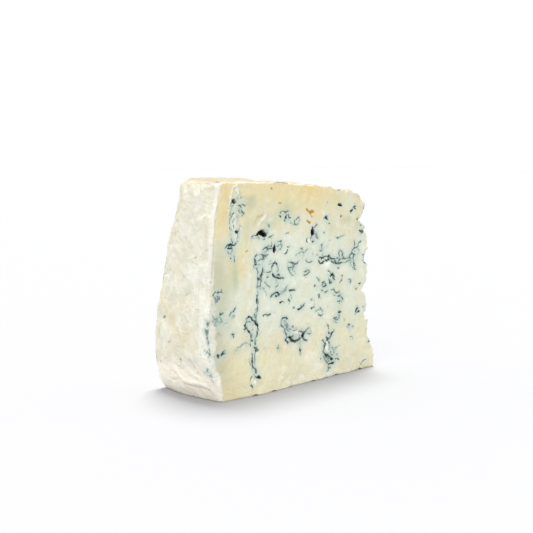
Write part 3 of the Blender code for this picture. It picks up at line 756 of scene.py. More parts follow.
def noise(x, y, z, size):
    """Smooth noise from -1 to 1 whose lumps are about `size` across."""
    cells = np.stack([x, y, z]) / size + 4 * NOISE_SIDE
    low = np.floor(cells).astype(int)
    share = cells - low
    share = share * share * (3 - 2 * share)
    total = np.zeros_like(x)
    for corner in itertools.product((0, 1), repeat=3):
        at = [(low[i] + corner[i]) % NOISE_SIDE for i in range(3)]
        weight = np.prod([share[i] if corner[i] else 1 - share[i] for i in range(3)], axis=0)
        total += weight * NOISE_TABLE[at[0], at[1], at[2]]
    return total


def level_noise(at, high, level, size):
    """Noise at places on a face, a different one for each level."""
    return noise(at, high, np.full_like(at, level), size)


def layered(x, y, z, layers):
    return sum(height * noise(x, y, z, size) for size, height in layers)


def ridged(x, y, z, layers):
    """Like layered noise, with narrow crests."""
    return sum(
        height * (CREST - CREST_FALL * np.sqrt(noise(x, y, z, size) ** 2 + CREST_ROUND))
        for size, height in layers
    )


def rind_profile(up, across):
    """Radius and height of the rind, going evenly up it from the foot to where the top starts."""
    belly = BELLY_SHOW + (BELLY_BACK - BELLY_SHOW) * across
    foot = np.clip(up / FOOT_SHARE, 0, 1)
    side = np.clip((up - FOOT_SHARE) / (RIM_SHARE - FOOT_SHARE), 0, 1)
    turn = np.clip((up - RIM_SHARE) / (1 - RIM_SHARE), 0, 1) * math.pi / 2
    rounder = smooth_step(ROUND_FROM, ROUND_TO, across)
    top_round = TOP_CORNER_ROUND + (TOP_ROUND - TOP_CORNER_ROUND) * rounder
    angle = FOOT_ANGLE + (math.pi / 2 - FOOT_ANGLE) * foot
    swell = (np.sin(angle) - math.sin(FOOT_ANGLE)) / (1 - math.sin(FOOT_ANGLE))
    rise = 1 - np.cos(angle) / math.cos(FOOT_ANGLE)
    radius = RIM_RADIUS + BULGE * swell - TAPER * side**TAPER_POWER - top_round * (1 - np.cos(turn))
    height = belly * rise + (HEIGHT - top_round - belly) * side + top_round * np.sin(turn)
    return radius, height


def tip_radius(height, along):
    """How far from the axis the ragged tip stands at a height, its bites fading away from the tip."""
    bites = np.zeros_like(height)
    for at, depth, above, below in TIP_BITES:
        reach = np.where(height > at, above, below)
        share = np.clip(1 - np.abs(height - at) / reach, 0, 1)
        bites = np.maximum(bites, depth * share**BITE_POWER)
    corner = np.clip((height - TIP_TOP) / CORNER_RISE + 1, 0, 1)
    step = TIP_STEP * smooth_step(TOE_LOW, TOE_HIGH, height)
    return TIP_RADIUS + step + (bites + CORNER_DEPTH * corner**CORNER_POWER) * (1 - along) ** BITE_FADE


def capped(value, softness):
    """The value, rounded off gently to 1 where it would pass it."""
    return 1 - softness * np.log1p(np.exp((1 - value) / softness))


def cut_angle(height, across):
    """The angle about the axis, from the show face to the back face, which leans in towards the top."""
    rise = np.maximum(height - LEAN_FROM, 0) / (LEAN_TO - LEAN_FROM)
    lean = capped(rise**LEAN_POWER, LEAN_SOFTNESS)
    back_angle = HALF_ANGLE + (BACK_TOP_ANGLE - HALF_ANGLE) * lean
    return -HALF_ANGLE * (1 - across) + back_angle * across


def on_wheel(along, up, across):
    """Radius from the wheel's axis and height of the lattice's points, before any relief."""
    rind_radius, rind_height = rind_profile(up, across)
    tip_height = TIP_TOP * up
    radius = tip_radius(tip_height, along) * (1 - along) + rind_radius * along
    height = tip_height * (1 - along) + rind_height * along
    height = height + (TOP_CROWN * 4 * along * (1 - along) + LIFT * across * along) * up
    return radius, height


def sides_of(along, up, across):
    """Which faces of the cube each point is on."""
    names = (("tip", "rind"), ("base", "top"), ("show", "back"))
    shares = (along, up, across)
    return {
        name: np.isclose(share, side, atol=SIDE_TOLERANCE)
        for pair, share in zip(names, shares)
        for side, name in enumerate(pair)
    }


def smooth_line(places, step):
    """A smooth line through the places, as an array of points about `step` apart."""
    places = np.array(places, float)
    ends = (2 * places[0] - places[1], 2 * places[-1] - places[-2])
    held = np.vstack([ends[0], places, ends[1]])
    points = []
    for before, start, end, after in zip(held, held[1:], held[2:], held[3:]):
        parts = max(2, math.ceil(np.linalg.norm(end - start) / step))
        share = np.arange(parts)[:, None] / parts
        slope = end - before
        bend = 2 * before - 5 * start + 4 * end - after
        twist = 3 * start - before - 3 * end + after
        points.append(0.5 * (2 * start + slope * share + bend * share**2 + twist * share**3))
    return np.vstack(points + [places[-1:]])


def nearest_on(line, margin, at, high):
    """The places within a margin of a line: which they are, how far from it, and its points nearest them."""
    low, top = line.min(axis=0) - margin, line.max(axis=0) + margin
    inside = np.nonzero((at > low[0]) & (at < top[0]) & (high > low[1]) & (high < top[1]))[0]
    apart = np.hypot(at[inside, None] - line[:, 0], high[inside, None] - line[:, 1])
    closest = apart.argmin(axis=1)
    return inside, apart[np.arange(len(inside)), closest], closest


def frayed(at, high):
    """The places, shifted a little here and there, so that what is drawn on them gets uneven edges."""
    right, rise = (
        sum(shift * level_noise(at, high, level, size) for size, shift in FRAY)
        for level in FRAY_LEVELS
    )
    return at + right, high + rise


def stroke_fields(strokes, at, high):
    """What strokes do at places in millimetres: nearness, darkness, the bloom round them and a wider tint."""
    at, high = frayed(at, high)
    near = np.full(at.shape, FAR)
    ink = np.zeros_like(at)
    clear = np.ones_like(at)
    untinted = np.ones_like(at)
    for half, dark, *places in strokes:
        line = smooth_line(places, STROKE_STEP)
        halves = THIN * half * (1 + UNEVEN_WIDTH * level_noise(*line.T, WIDTH_LEVEL, WIDTH_SIZE))
        darks = dark * (1 + UNEVEN_DARK * level_noise(*line.T, DARK_LEVEL, DARK_SIZE))
        inside, apart, closest = nearest_on(line, TINT_MARGIN, at, high)
        width = halves[closest]
        near[inside] = np.minimum(near[inside], apart - width)
        ink[inside] = np.maximum(ink[inside], darks[closest] / (1 + (apart / width) ** STROKE_EDGE))
        clear[inside] *= 1 - BLOOM_STRENGTH * dark**BLOOM_POWER * bump(apart, 0, BLOOM_REACH)
        untinted[inside] *= 1 - TINT_STRENGTH * dark * bump(apart, 0, TINT_REACH)
    return near, ink, 1 - clear, 1 - untinted


def branches(strokes):
    """Short faint offshoots and flecks beside the strokes, drawn at random but always the same."""
    draw = np.random.default_rng(NOISE_SEED)
    offshoots = []
    for _, dark, *places in strokes:
        line = smooth_line(places, STROKE_STEP)
        for _ in range(1 + len(line) // BRANCH_SPACING):
            start = draw.integers(0, len(line) - 1)
            ahead = line[start + 1] - line[start]
            heading = math.atan2(ahead[1], ahead[0]) + draw.choice((-1, 1)) * draw.uniform(*BRANCH_TURN)
            length = draw.uniform(*BRANCH_LENGTH)
            bend = draw.uniform(*BRANCH_BEND)
            gap = draw.choice(BRANCH_GAPS)
            place = line[start] + gap * np.array([math.cos(heading), math.sin(heading)])
            path = [tuple(place)]
            for step in range(2):
                turned = heading + bend * step
                place = place + length / 2 * np.array([math.cos(turned), math.sin(turned)])
                path.append(tuple(place))
            offshoots.append((draw.uniform(*BRANCH_HALF), dark * draw.uniform(*BRANCH_DARK), *path))
    return tuple(offshoots)


def patch_field(patches, at, high):
    """How much of the patches, whose edges are uneven, is at places in millimetres."""
    at = at + sum(shift * level_noise(at, high, level, size) for size, shift, level in PATCH_FRAY)
    high = high + sum(shift * level_noise(at, high, level, size) for size, shift, level in PATCH_RISE)
    clear = np.ones_like(at)
    for middle, level, wide, tall, strength in patches:
        clear *= 1 - strength * bump(at, middle, wide) * bump(high, level, tall)
    return 1 - clear


def hole_fields(holes, at, high):
    """Depth in metres and blackness of the holes."""
    at, high = frayed(at, high)
    depth, black = np.zeros_like(at), np.zeros_like(at)
    for middle, level, wide, tall, tilt, deep in holes:
        turn = math.radians(tilt)
        right, rise = at - middle, high - level
        lengthwise = (right * math.cos(turn) + rise * math.sin(turn)) / wide
        crosswise = (rise * math.cos(turn) - right * math.sin(turn)) / tall
        reach = np.hypot(lengthwise, crosswise)
        depth = np.maximum(depth, deep * MM * smooth_step(*HOLE_WALL, reach))
        black = np.maximum(black, smooth_step(*HOLE_SHADE, reach))
    return depth, black


def fold_field(folds, at, high):
    """Ridges and creases in metres at places in millimetres."""
    relief = np.zeros_like(at)
    for half, rise, *places in folds:
        line = smooth_line(places, FOLD_STEP)
        inside, apart, closest = nearest_on(line, 3 * half, at, high)
        from_end = np.minimum(closest, len(line) - 1 - closest)
        ends = np.clip(from_end / FOLD_END_POINTS, FOLD_END_SHARE, 1)
        relief[inside] += rise * MM * ends * bump(apart, 0, half)
    return relief


def rounding(distance, room):
    """How far a face draws in this near an edge."""
    reach = np.minimum(EDGE_ROUND, NARROW_ROUND * room)
    share = np.clip(1 - distance / reach, 0, 1)
    return EDGE_DRAW * reach * share**2


def moved(strokes, by, turned, mirrored):
    """The strokes, turned about their middle, mirrored or not, and moved to a new middle."""
    places = np.array([place for stroke in strokes for place in stroke[2:]], float)
    middle = places.mean(axis=0)
    turn = math.radians(turned)
    spin = np.array([[math.cos(turn), math.sin(turn)], [-math.sin(turn), math.cos(turn)]])
    flip = np.array([-1 if mirrored else 1, 1])
    return tuple(
        (half, dark, *(tuple(((np.array(place) - middle) * flip) @ spin + by) for place in places))
        for half, dark, *places in strokes
    )


# On the rind, in millimetres: (round it from the show face's corner, height)
RIND_SPECKS = (
    (0.5, 0.5, (38.6, 122.2), (36, 122.6), (34.6, 122.5)),
    (0.5, 0.4, (38.6, 106.7), (37, 107.2)),
    (0.6, 0.3, (29, 113.6), (27.4, 114)),
    (0.5, 0.35, (6.3, 94.2), (5.6, 93.6)),
    (0.5, 0.35, (7.6, 90), (5.2, 91.2)),
    (0.35, 0.3, (19, 83.4), (16, 83), (12, 82)),
    (0.5, 0.35, (42, 76.2), (40, 76.8)),
    (0.6, 0.5, (47.5, 73.6), (45.2, 74.4)),
    (0.5, 0.3, (0.2, 84.6), (0.4, 83)),
    (0.5, 0.6, (0.1, 73.2), (0.3, 72.4)),
    (0.35, 0.4, (22, 63.2), (20, 64), (17.6, 64.8)),
    (0.6, 0.75, (44.6, 47), (42.8, 47.8)),
    (0.6, 0.5, (50.4, 50.6), (48.8, 51)),
    (0.5, 0.45, (16.4, 48.8), (15.8, 48.3)),
    (0.5, 0.4, (9.4, 46.2), (8.2, 46)),
    (0.35, 0.5, (38, 32.4), (36.4, 33.2), (34, 34.4)),
    (0.7, 0.75, (26, 23.7), (25.2, 23.3)),
    (0.6, 0.7, (43.4, 21.4), (42, 21.9)),
    (0.8, 0.7, (51.6, 17.9), (49.8, 18.6)),
    (0.35, 0.3, (17.4, 24.2), (16.4, 26)),
    (0.5, 0.3, (28, 25.8), (27, 26)),
    (0.5, 0.3, (44.6, 58.4), (43, 58.9)),
    (0.5, 0.3, (6.6, 51.8), (5, 52.4)),
)
RIND_OCHRE = (
    (0.6, 0.75, (6.4, 109.4), (5.6, 109)),
    (0.45, 0.55, (15.4, 101.3), (13.8, 102.4), (12.8, 103)),
    (0.7, 0.65, (15.8, 86), (14.4, 86.3)),
    (0.6, 0.4, (19.6, 83.2), (18.4, 83)),
)
CORNER_MOULD = (
    (0.47, 0.78, (3.6, 49.4), (2.6, 48.2), (1.6, 46.8), (2.2, 45.2)),
    (0.51, 0.9, (3.8, 44.6), (2.6, 43.8), (1.4, 43.2), (1.2, 41.6)),
    (0.47, 0.84, (2.8, 42.6), (2.2, 40.8), (1.4, 39.2), (1.4, 37.6)),
    (0.43, 0.67, (1.2, 37.4), (0.4, 35.4), (0.2, 33.4), (-0.4, 31.4)),
    (0.39, 0.62, (1.8, 36.2), (1.2, 34.6)),
    (0.47, 0.5, (4.4, 50), (2.6, 49.4), (1.4, 48.4), (0.2, 47.8)),
    (0.43, 0.67, (3.4, 47.4), (2, 47.1), (1.2, 47.6)),
    (0.39, 0.5, (1.2, 49.8), (1, 48), (1.6, 46.2)),
    (0.55, 0.73, (4.4, 43.2), (3.2, 42.8), (2.4, 43.4)),
    (0.55, 0.67, (2.4, 43.6), (1.4, 42.6), (0.2, 43.2)),
    (0.39, 0.56, (3.2, 41), (2, 41.4), (1, 40.6)),
    (0.47, 0.62, (2.6, 39.8), (1.4, 39), (0.6, 37.4)),
    (0.39, 0.56, (0.4, 40.4), (0.6, 38.6), (0, 36.8)),
    (0.47, 0.56, (4.6, 31.8), (3.8, 30.4), (3.4, 29.6)),
    (0.55, 0.9, (2, 31), (0.6, 30.2), (0, 29.4)),
    (0.39, 0.56, (1.8, 28.4), (0.6, 27), (0.2, 25.6)),
    (0.47, 0.73, (2.6, 20.6), (3.2, 19.2), (4.6, 17.8)),
    (0.39, 0.67, (3.2, 19.6), (2.2, 18), (1.4, 16.4)),
    (0.39, 0.5, (5.6, 18.4), (6.4, 17)),
    (0.39, 0.62, (1.2, 19.8), (0.8, 17.4), (0.4, 15)),
    (0.39, 0.56, (2.8, 16.8), (1.8, 14.4), (0.6, 12)),
)
RIND_BLUE = (
    (2.2, 45, 2.4, 5, 0.6), (1.6, 37, 1.8, 6, 0.6), (0.8, 29, 1.8, 5, 0.5), (2.6, 17, 3, 4.5, 0.7),
    (0.8, 10, 1.4, 4, 0.4), (-3, 32, 2.2, 14, 0.28), (-2.5, 14, 2, 8, 0.2),
)
# Folds: (half width, height of the ridge or, below 0, depth of the crease, place, place, ...)
RIND_FOLDS = (
    (0.8, -0.7, (40, 8.6), (35, 9.2), (31, 10.4), (27, 10.6)),
    (1.5, 0.9, (34, 17.5), (30, 15), (26.5, 11.5), (22, 10), (16, 10.2), (9, 9.6), (5, 7.4)),
    (0.8, -0.6, (24, 8.6), (19, 7.4), (12, 7.2), (7, 7.6), (4.4, 5.6)),
    (0.7, -0.55, (34.6, 14.4), (31, 12.6), (28, 9.4), (26.4, 6.2)),
    (0.7, -0.4, (44, 14.2), (39, 14.8), (34.4, 14.6)),
    (1.0, 0.6, (20, 30), (15.6, 26.2), (11.6, 21.6), (8.6, 17.4)),
    (0.6, -0.5, (17.6, 25.4), (14, 21), (11, 16.4), (8.4, 13.4)),
    (0.6, -0.4, (14.6, 27.6), (11.6, 23.6), (9, 19)),
    (1.1, 0.6, (24.4, 22.4), (19.4, 18.4), (14.6, 14.8), (10, 12.6)),
    (0.6, -0.5, (27, 18.6), (22, 15.2), (17.4, 12.8)),
    (0.9, 0.65, (46, 45.6), (42.4, 41), (39.8, 36.4), (38, 31)),
    (1.0, 0.5, (47.6, 15), (42, 14.6), (36, 15.6)),
    (0.7, -0.35, (34, 33), (28, 31.6), (20, 31.4)),
    (0.6, -0.45, (22.6, 63), (20, 64), (17.6, 65)),
    (0.6, -0.4, (20.4, 83.6), (16, 82.8), (11.6, 81.8)),
    (0.9, 0.45, (39, 85.6), (35.6, 83.4), (33.4, 80.6)),
    (1.0, 0.5, (35, 72), (32.4, 69.6), (31.4, 65)),
    (1.0, 0.4, (15.6, 99.6), (12.6, 96), (10.4, 91.6)),
    (0.7, -0.35, (27.4, 99), (24, 95), (22, 89)),
    (0.8, -0.35, (9.6, 70), (9.4, 62), (9, 54)),
    (0.9, 0.4, (30.4, 118), (28, 116.4), (26.4, 117.6)),
    (0.8, 0.5, (24, 127.4), (20.4, 124), (17.8, 121)),
    (0.6, -0.45, (18.4, 129), (16, 126), (15.6, 123.6)),
    (0.7, -0.5, (-0.6, 92), (0.2, 84), (0.2, 74)),
    (0.7, -0.3, (40, 104), (37.6, 99), (37, 94)),
    (0.8, 0.4, (34.6, 109), (32.6, 104), (32, 99)),
    (0.6, -0.3, (47, 60), (43, 57.6), (40, 53)),
    (0.8, 0.4, (29, 45), (25, 42.4), (22, 37.6)),
    (0.6, -0.3, (30, 42), (26, 39), (24, 34)),
    (0.8, 0.4, (14, 70), (13, 64), (14.4, 58)),
)
CORNER_RIDGE = (
    (2.9, 0.5, (2.6, 130.5), (2.2, 122), (2.4, 112), (2.4, 102), (2.8, 94)),
    (2.2, 0.35, (2.8, 94), (3.4, 86), (4.6, 78), (5.2, 70)),
    (2.0, 0.5, (5.2, 70), (6.4, 60), (6.2, 52), (5.8, 46)),
    (1.4, 0.35, (6.4, 40), (6.8, 34), (6.4, 26)),
)
RIND_BLOTCHES = (
    (25.5, 56.5, 5, 4, 0.6), (40, 53.5, 6, 4, 0.6), (34.5, 46, 5, 5, 0.7), (43, 47, 4, 3, 0.4),
    (18, 43, 4, 2.5, 0.55), (24, 39, 10, 4, 0.4), (19, 34, 7, 5, 0.55), (30, 31, 12, 6, 0.4),
    (52, 35, 3, 4, 0.4), (38, 12.4, 7, 2.8, 0.85), (51, 22, 5, 5, 0.45), (28, 14, 9, 3, 0.35),
    (14, 8.6, 8, 1.8, 0.45), (33, 79, 3, 9, 0.35), (34, 66, 4, 6, 0.3), (47, 62, 3, 10, 0.35),
    (23, 84, 4, 3, 0.35), (6, 90, 2, 4, 0.3), (9, 104, 3, 6, 0.25), (21, 92, 5, 5, 0.2),
)
RIND_PALE = (
    (-2.5, 34, 3.2, 16, 0.9), (-3, 12, 3, 14, 0.9), (3, 56, 3.5, 13, 0.8), (4.5, 40, 2, 12, 0.7),
    (2, 6, 4, 6, 0.6), (3.5, 26, 3, 9, 0.7), (30, 7, 8, 2.4, 0.9), (15, 77, 7, 6, 0.7), (14, 97, 5, 5, 0.4),
    (36, 70, 4, 5, 0.4), (8, 57, 2.5, 12, 0.7), (29, 21, 5, 4, 0.5), (20, 16, 6, 3, 0.4),
    (42, 40, 2.5, 5, 0.5), (37, 84, 4, 3, 0.4), (45, 88, 4, 6, 0.3), (28, 57, 2, 2, 0.4),
    (27, 47, 4, 2, 0.4), (20, 120, 4, 6, 0.4), (30, 104, 5, 7, 0.35), (7, 22, 4, 4, 0.5),
)
RIND_PINK = (
    (42, 90, 6, 6, 0.5), (10, 4.6, 9, 2.4, 0.6), (48, 92, 4, 10, 0.3), (43, 60, 3, 5, 0.4),
    (38, 38, 3, 5, 0.4), (21, 53, 3, 4, 0.35), (46, 18, 5, 2, 0.4), (15, 44, 3, 2, 0.3),
)

BACK_VEINS = (
    moved(LONG_NEEDLE, (44, 58), 4, True)
    + moved(BIG_VEIN, (26, 96), 200, False)
    + moved(LONG_VEIN, (84, 34), 8, True)
    + moved(LOWER_KNOT, (112, 88), 160, False)
    + moved(MIDDLE_HOLE, (86, 104), 20, True)
    + moved(CENTRE_LOOP, (16, 34), 75, False)
    + moved(BOW, (78, 70), 150, False)
    + moved(RIGHT_MIDDLE, (118, 52), 185, False)
    + moved(ARCHES, (60, 14), 190, False)
    + moved(LOOPS, (14, 66), 100, False)
    + moved(RIGHT_HOLES, (112, 18), 170, True)
    + moved(LEFT_MIDDLE, (64, 72), 200, True)
    + moved(UPPER_LEFT, (60, 88), 190, False)
    + moved(UPPER_NEEDLE, (138, 66), 6, True)
    + moved(MIDDLE_HOLE, (62, 52), 150, False)
    + moved(LOOPS, (104, 66), 250, True)
)
BACK_HOLES = (
    (30, 98, 2.6, 1.2, 20, 4.0),
    (86, 106, 1.3, 1.6, 0, 3.4),
    (112, 92, 1.4, 1.3, 0, 3.2),
    (46, 60, 1.9, 0.9, 30, 2.8),
    (92, 36, 2.2, 0.8, 8, 3.0),
    (118, 56, 1.6, 0.8, -12, 2.6),
)
BACK_BLUE_MIDDLES = (
    (44, 62), (27, 96), (84, 36), (110, 88), (86, 102), (16, 36), (78, 70), (116, 54), (60, 16), (64, 52),
    (104, 66), (62, 88), (136, 70),
)
BACK_BLUE = tuple((middle, level, 8.0, 6.5, 0.45) for middle, level in BACK_BLUE_MIDDLES)
TIP_VEINS = (
    (0.6, 0.6, (2, 20), (4, 24), (2, 28)),
    (0.6, 0.7, (1, 60), (3, 63), (5, 62)),
    (0.6, 0.6, (4, 80), (2, 84), (4, 88)),
)


# What the cut laid bare on each cut face: (veins, holes, blue, green, white, ochre, lips)
CUT_TABLES = {
    "show": (SHOW_VEINS, SHOW_HOLES, BLUE_PATCHES, GREEN_PATCHES, WHITE_PATCHES, OCHRE_MARKS, LIPS),
    "back": (BACK_VEINS, BACK_HOLES, BACK_BLUE, (), (), (), ()),
}


def cut_fields(side, at, high):
    """Everything the cut laid bare on one of the cut faces, at places in millimetres."""
    veins, holes, blue, green, white, ochre, lips = CUT_TABLES[side]
    near, ink, bloom, tint = stroke_fields(veins, at, high)
    ink = np.maximum(ink, stroke_fields(branches(veins), at, high)[1])
    depth, black = hole_fields(holes, at, high)
    blue_share = patch_field(blue, at, high)
    return {
        "near": np.minimum(near, np.where(black > 0, 0, FAR)),
        "ink": ink,
        "bloom": 1 - (1 - bloom) * (1 - BLUE_BLOOM * blue_share),
        "tint": 1 - (1 - tint) * (1 - BLUE_TINT * blue_share),
        "green": patch_field(green, at, high),
        "white": patch_field(white, at, high),
        "ochre": stroke_fields(ochre, at, high)[1],
        "lip": stroke_fields(lips, at, high)[1],
        "hole_depth": depth,
        "black": black,
    }


def divided_cube():
    """A unit cube from 0 to 1 whose faces are grids of the lattice's cells."""
    lattice = bmesh.new()
    bmesh.ops.create_cube(lattice, size=1)
    bmesh.ops.translate(lattice, verts=lattice.verts, vec=(0.5, 0.5, 0.5))
    for axis, cells in enumerate((CELLS_ALONG, CELLS_UP, CELLS_ACROSS)):
        lengthwise = [
            edge
            for edge in lattice.edges
            if abs(edge.verts[0].co[axis] - edge.verts[1].co[axis]) > 0.5
        ]
        bmesh.ops.subdivide_edges(lattice, edges=lengthwise, cuts=cells - 1, use_grid_fill=True)
    return lattice


def near_detail(places, cut_reach, edge_reach, whole_rind):
    """Which lattice places are within reach of a vein or of an edge of the wedge, in millimetres."""
    along, up, across = places.T
    radius, height = on_wheel(along, up, across)
    at, high = (RIM_RADIUS - radius) / MM, height / MM
    wide = 2 * HALF_ANGLE * radius / MM
    to_ends = np.minimum(along, 1 - along) * CUT_LENGTH / MM
    to_levels = np.minimum(up, 1 - up) * CUT_HEIGHT / MM
    to_cuts = np.minimum(across, 1 - across) * wide
    sides = sides_of(along, up, across)
    wanted = np.zeros(len(places), bool)
    for side, (veins, holes, _, _, _, ochre, _) in CUT_TABLES.items():
        here = np.nonzero(sides[side])[0]
        near = stroke_fields(veins + ochre, at[here], high[here])[0]
        _, black = hole_fields(holes, at[here], high[here])
        by_edge = np.minimum(to_ends, to_levels)[here] < edge_reach
        wanted[here] = (near < cut_reach) | (black > 0) | by_edge
    by_edge = np.minimum(to_ends, to_cuts) < edge_reach
    wanted |= (sides["base"] | sides["top"]) & by_edge & (wide > NARROW)
    by_edge = np.minimum(to_levels, to_cuts) < edge_reach
    wanted |= sides["rind"] & (whole_rind | by_edge)
    return wanted


def halve_cells(lattice, cut_reach, edge_reach, whole_rind):
    """Halves the cells of every face that is near enough to a vein or an edge."""
    lattice.faces.index_update()
    middles = np.array([face.calc_center_median() for face in lattice.faces])
    picked = near_detail(middles, cut_reach, edge_reach, whole_rind)
    edges = [edge for edge in lattice.edges if any(picked[face.index] for face in edge.link_faces)]
    bmesh.ops.subdivide_edges(lattice, edges=edges, cuts=1, use_grid_fill=True, use_single_edge=True)


def paste_yellowness(at, high):
    """How yellow the paste is: yellow under the top, at the foot and behind the rind, cool in the middle."""
    level = YELLOW_BASE + YELLOW_RIND * bump(at, *YELLOW_RIND_AT) * smooth_step(*YELLOW_RIND_HIGH, high)
    for more, heights, places in YELLOW_SLOPES:
        level = level + more * smooth_step(*heights, high) * smooth_step(*places, at)
    for middle, height, wide, tall, more in YELLOW_PATCHES:
        level = level + more * bump(at, middle, wide) * bump(high, height, tall)
    return level


def rind_leaves(around, high):
    """Flaky wrinkles of the dry rind at places in millimetres: slanting crests up to 1, hollows between."""
    bent = around + LEAF_BEND * level_noise(around, high, 0, LEAF_BEND_SIZE)
    raised = high + LEAF_BEND * level_noise(around, high, 7, LEAF_BEND_SIZE)
    total = np.zeros_like(around)
    for slant, level in LEAF_SLANTS:
        lengthwise = bent * math.sin(slant) + raised * math.cos(slant)
        crosswise = bent * math.cos(slant) - raised * math.sin(slant)
        crests = np.abs(level_noise(lengthwise / LEAF_LENGTH, crosswise, level, LEAF_SIZE))
        total = total + 1 - LEAF_SHARPNESS * crests
    return total / len(LEAF_SLANTS)


class Spots:
    """Where the lattice's points are before any relief, and how far from the wedge's edges."""

    def __init__(self, along, up, across):
        self.up, self.across = up, across
        self.sides = sides_of(along, up, across)
        self.on_cut = self.sides["show"] | self.sides["back"]
        self.radius, self.height = on_wheel(along, up, across)
        self.from_rim = RIM_RADIUS - self.radius
        self.angle = cut_angle(self.height, across)
        self.outward = np.stack([-np.cos(self.angle), np.sin(self.angle)])
        self.sideways = np.stack([np.sin(self.angle), np.cos(self.angle)])
        self.x, self.y = self.radius * self.outward

        self.room = (cut_angle(self.height, np.ones_like(across)) + HALF_ANGLE) * self.radius
        self.to_tip, self.to_rind = along * CUT_LENGTH, (1 - along) * CUT_LENGTH
        self.to_base, self.to_top = up * CUT_HEIGHT, (1 - up) * CUT_HEIGHT
        self.to_show, self.to_back = across * self.room, (1 - across) * self.room
        self.chip = 1 + CHIP * noise(self.x, self.y, self.height, CHIP_SIZE)

        # The tables' places, in millimetres
        self.at, self.high = self.from_rim / MM, self.height / MM
        self.around = (self.angle + HALF_ANGLE) * RIM_RADIUS / MM
        self.rim_depth = self.to_rind / MM

    def drawn_in(self, *distances):
        """How far a face draws in at its edges, for its distances from them."""
        return sum(rounding(distance / self.chip, self.room) for distance in distances)

    def rough(self, layers, stretch=(1, 1, 1)):
        """Layered noise over the wedge, its lumps stretched along each axis."""
        return layered(self.x / stretch[0], self.y / stretch[1], self.height / stretch[2], layers)

    def crags(self):
        return ridged(self.x, self.y, self.height, TIP_CRUMBS)


def at_least(looks, name, here, values):
    """Raises a share to the values where they are above it."""
    looks[name][here] = np.maximum(looks[name][here], values)


def cut_looks(spots, looks):
    """Adds what the cut laid bare, the show face's last, so that it holds where the two faces meet."""
    for side in ("back", "show"):
        here = np.nonzero(spots.sides[side])[0]
        for name, values in cut_fields(side, spots.at[here], spots.high[here]).items():
            looks[name][here] = values


def rind_looks(spots, looks):
    """Adds the rind's mould, specks, patches and folds, which turn the show face's corner a little."""
    near_corner = spots.sides["show"] & (spots.rim_depth < CORNER_REACH)
    here = np.nonzero(spots.sides["rind"] | near_corner)[0]
    place = np.where(spots.sides["rind"], spots.around, -spots.rim_depth)[here], spots.high[here]
    _, ink, bloom, _ = stroke_fields(CORNER_MOULD, *place)
    specks = stroke_fields(RIND_SPECKS, *place)[1]
    at_least(looks, "ink", here, np.maximum(ink, specks))
    at_least(looks, "bloom", here, np.maximum(bloom, patch_field(RIND_BLUE, *place)))
    at_least(looks, "ochre", here, stroke_fields(RIND_OCHRE, *place)[1])
    for name, patches in (("blotch", RIND_BLOTCHES), ("pale", RIND_PALE), ("pink", RIND_PINK)):
        looks[name][here] = patch_field(patches, *place)
    ridge = fold_field(CORNER_RIDGE, *place)
    looks["ridge"][here] = np.clip(ridge / MM, 0, 1)
    looks["folds"][here] = fold_field(RIND_FOLDS, *place) + RIDGE_FOLD * ridge
    # Painted shade in the folds' creases, and a painted highlight on their ridges, which goes into the pale
    # share
    looks["crease_shade"] = np.clip(-looks["folds"] / FULL_CREASE_SHADE, 0, 1)
    looks["pale"] = np.maximum(looks["pale"], np.clip(looks["folds"] / FOLD_HIGHLIGHT, 0, FOLD_HIGHLIGHT_MOST))
    looks["leaves"][here] = rind_leaves(*place)
    # The crest share paints the leaves' relief into the colour: painted shade in their hollows and a painted
    # highlight on their crests
    strength = 1 - CREST_CALM * smooth_step(*CREST_CALM_HIGH, spots.high)
    looks["crest_shade_and_highlight"] = np.clip(0.5 + 0.5 * looks["leaves"] * strength, 0, 1)


def tip_looks(spots, looks):
    """Adds the few veins that the tip's broken face shows."""
    here = np.nonzero(spots.sides["tip"] & ~spots.on_cut)[0]
    from_show = ((spots.angle + HALF_ANGLE) * spots.radius / MM)[here]
    _, ink, bloom, _ = stroke_fields(TIP_VEINS, from_show, spots.high[here])
    looks["ink"][here] = ink
    looks["bloom"][here] = bloom


def cut_relief(spots, looks):
    """Relief of the cut faces: waves, drag lines, crumbs, veins, lips and holes, and the torn tip."""
    waves = spots.rough(CUT_WAVES, (1, 1, DRAG))
    drags = spots.rough(DRAG_LINES, (1, 1, FINE_DRAG))
    crumbs = spots.rough(CRUMBS) * (CRUMBS_PASTE + CRUMBS_VEIN * looks["bloom"])
    torn = smooth_step(TORN_REACH, TORN_FULL, spots.to_tip)
    lips = LIP * bump(looks["near"], *LIP_PLACE) * looks["bloom"] + RIDGE * looks["lip"]
    return waves + drags + crumbs + torn * spots.crags() - GROOVE * looks["ink"] - looks["hole_depth"] + lips


def swelling(spots):
    """How far the show face stands out at its foot."""
    swell = SWELL * bump(spots.from_rim, SWELL_AT, SWELL_WIDE) * bump(spots.height, 0, SWELL_HIGH)
    for middle, half, tall, far in FOOT_SPREAD:
        swell = swell + far * bump(spots.at, middle, half) * bump(spots.height, 0, tall)
    return swell


def rind_relief(spots, looks):
    """Relief of the rind: lumps, wrinkles, leaves, folds, the specks' hollows and the foot's flare."""
    calm = smooth_step(*CALM_HIGH, spots.high)
    wrinkles = (FOOT_WRINKLES + (1 - FOOT_WRINKLES) * calm) * spots.rough(RIND_WRINKLES, WRINKLE_STRETCH)
    leaves = (FOOT_LEAVES + (1 - FOOT_LEAVES) * calm) * LEAF * looks["leaves"]
    folds = (FOOT_FOLDS + (1 - FOOT_FOLDS) * calm) * looks["folds"]
    flare = FOOT_FLARE * bump(spots.height, 0, FLARE_HIGH) * smooth_step(*FLARE_ACROSS, spots.across)
    return spots.rough(RIND_LUMPS) + wrinkles + leaves + folds - RIND_GROOVE * looks["ink"] + flare


def tip_relief(spots):
    return spots.rough(TIP_CRAGS) + spots.crags()


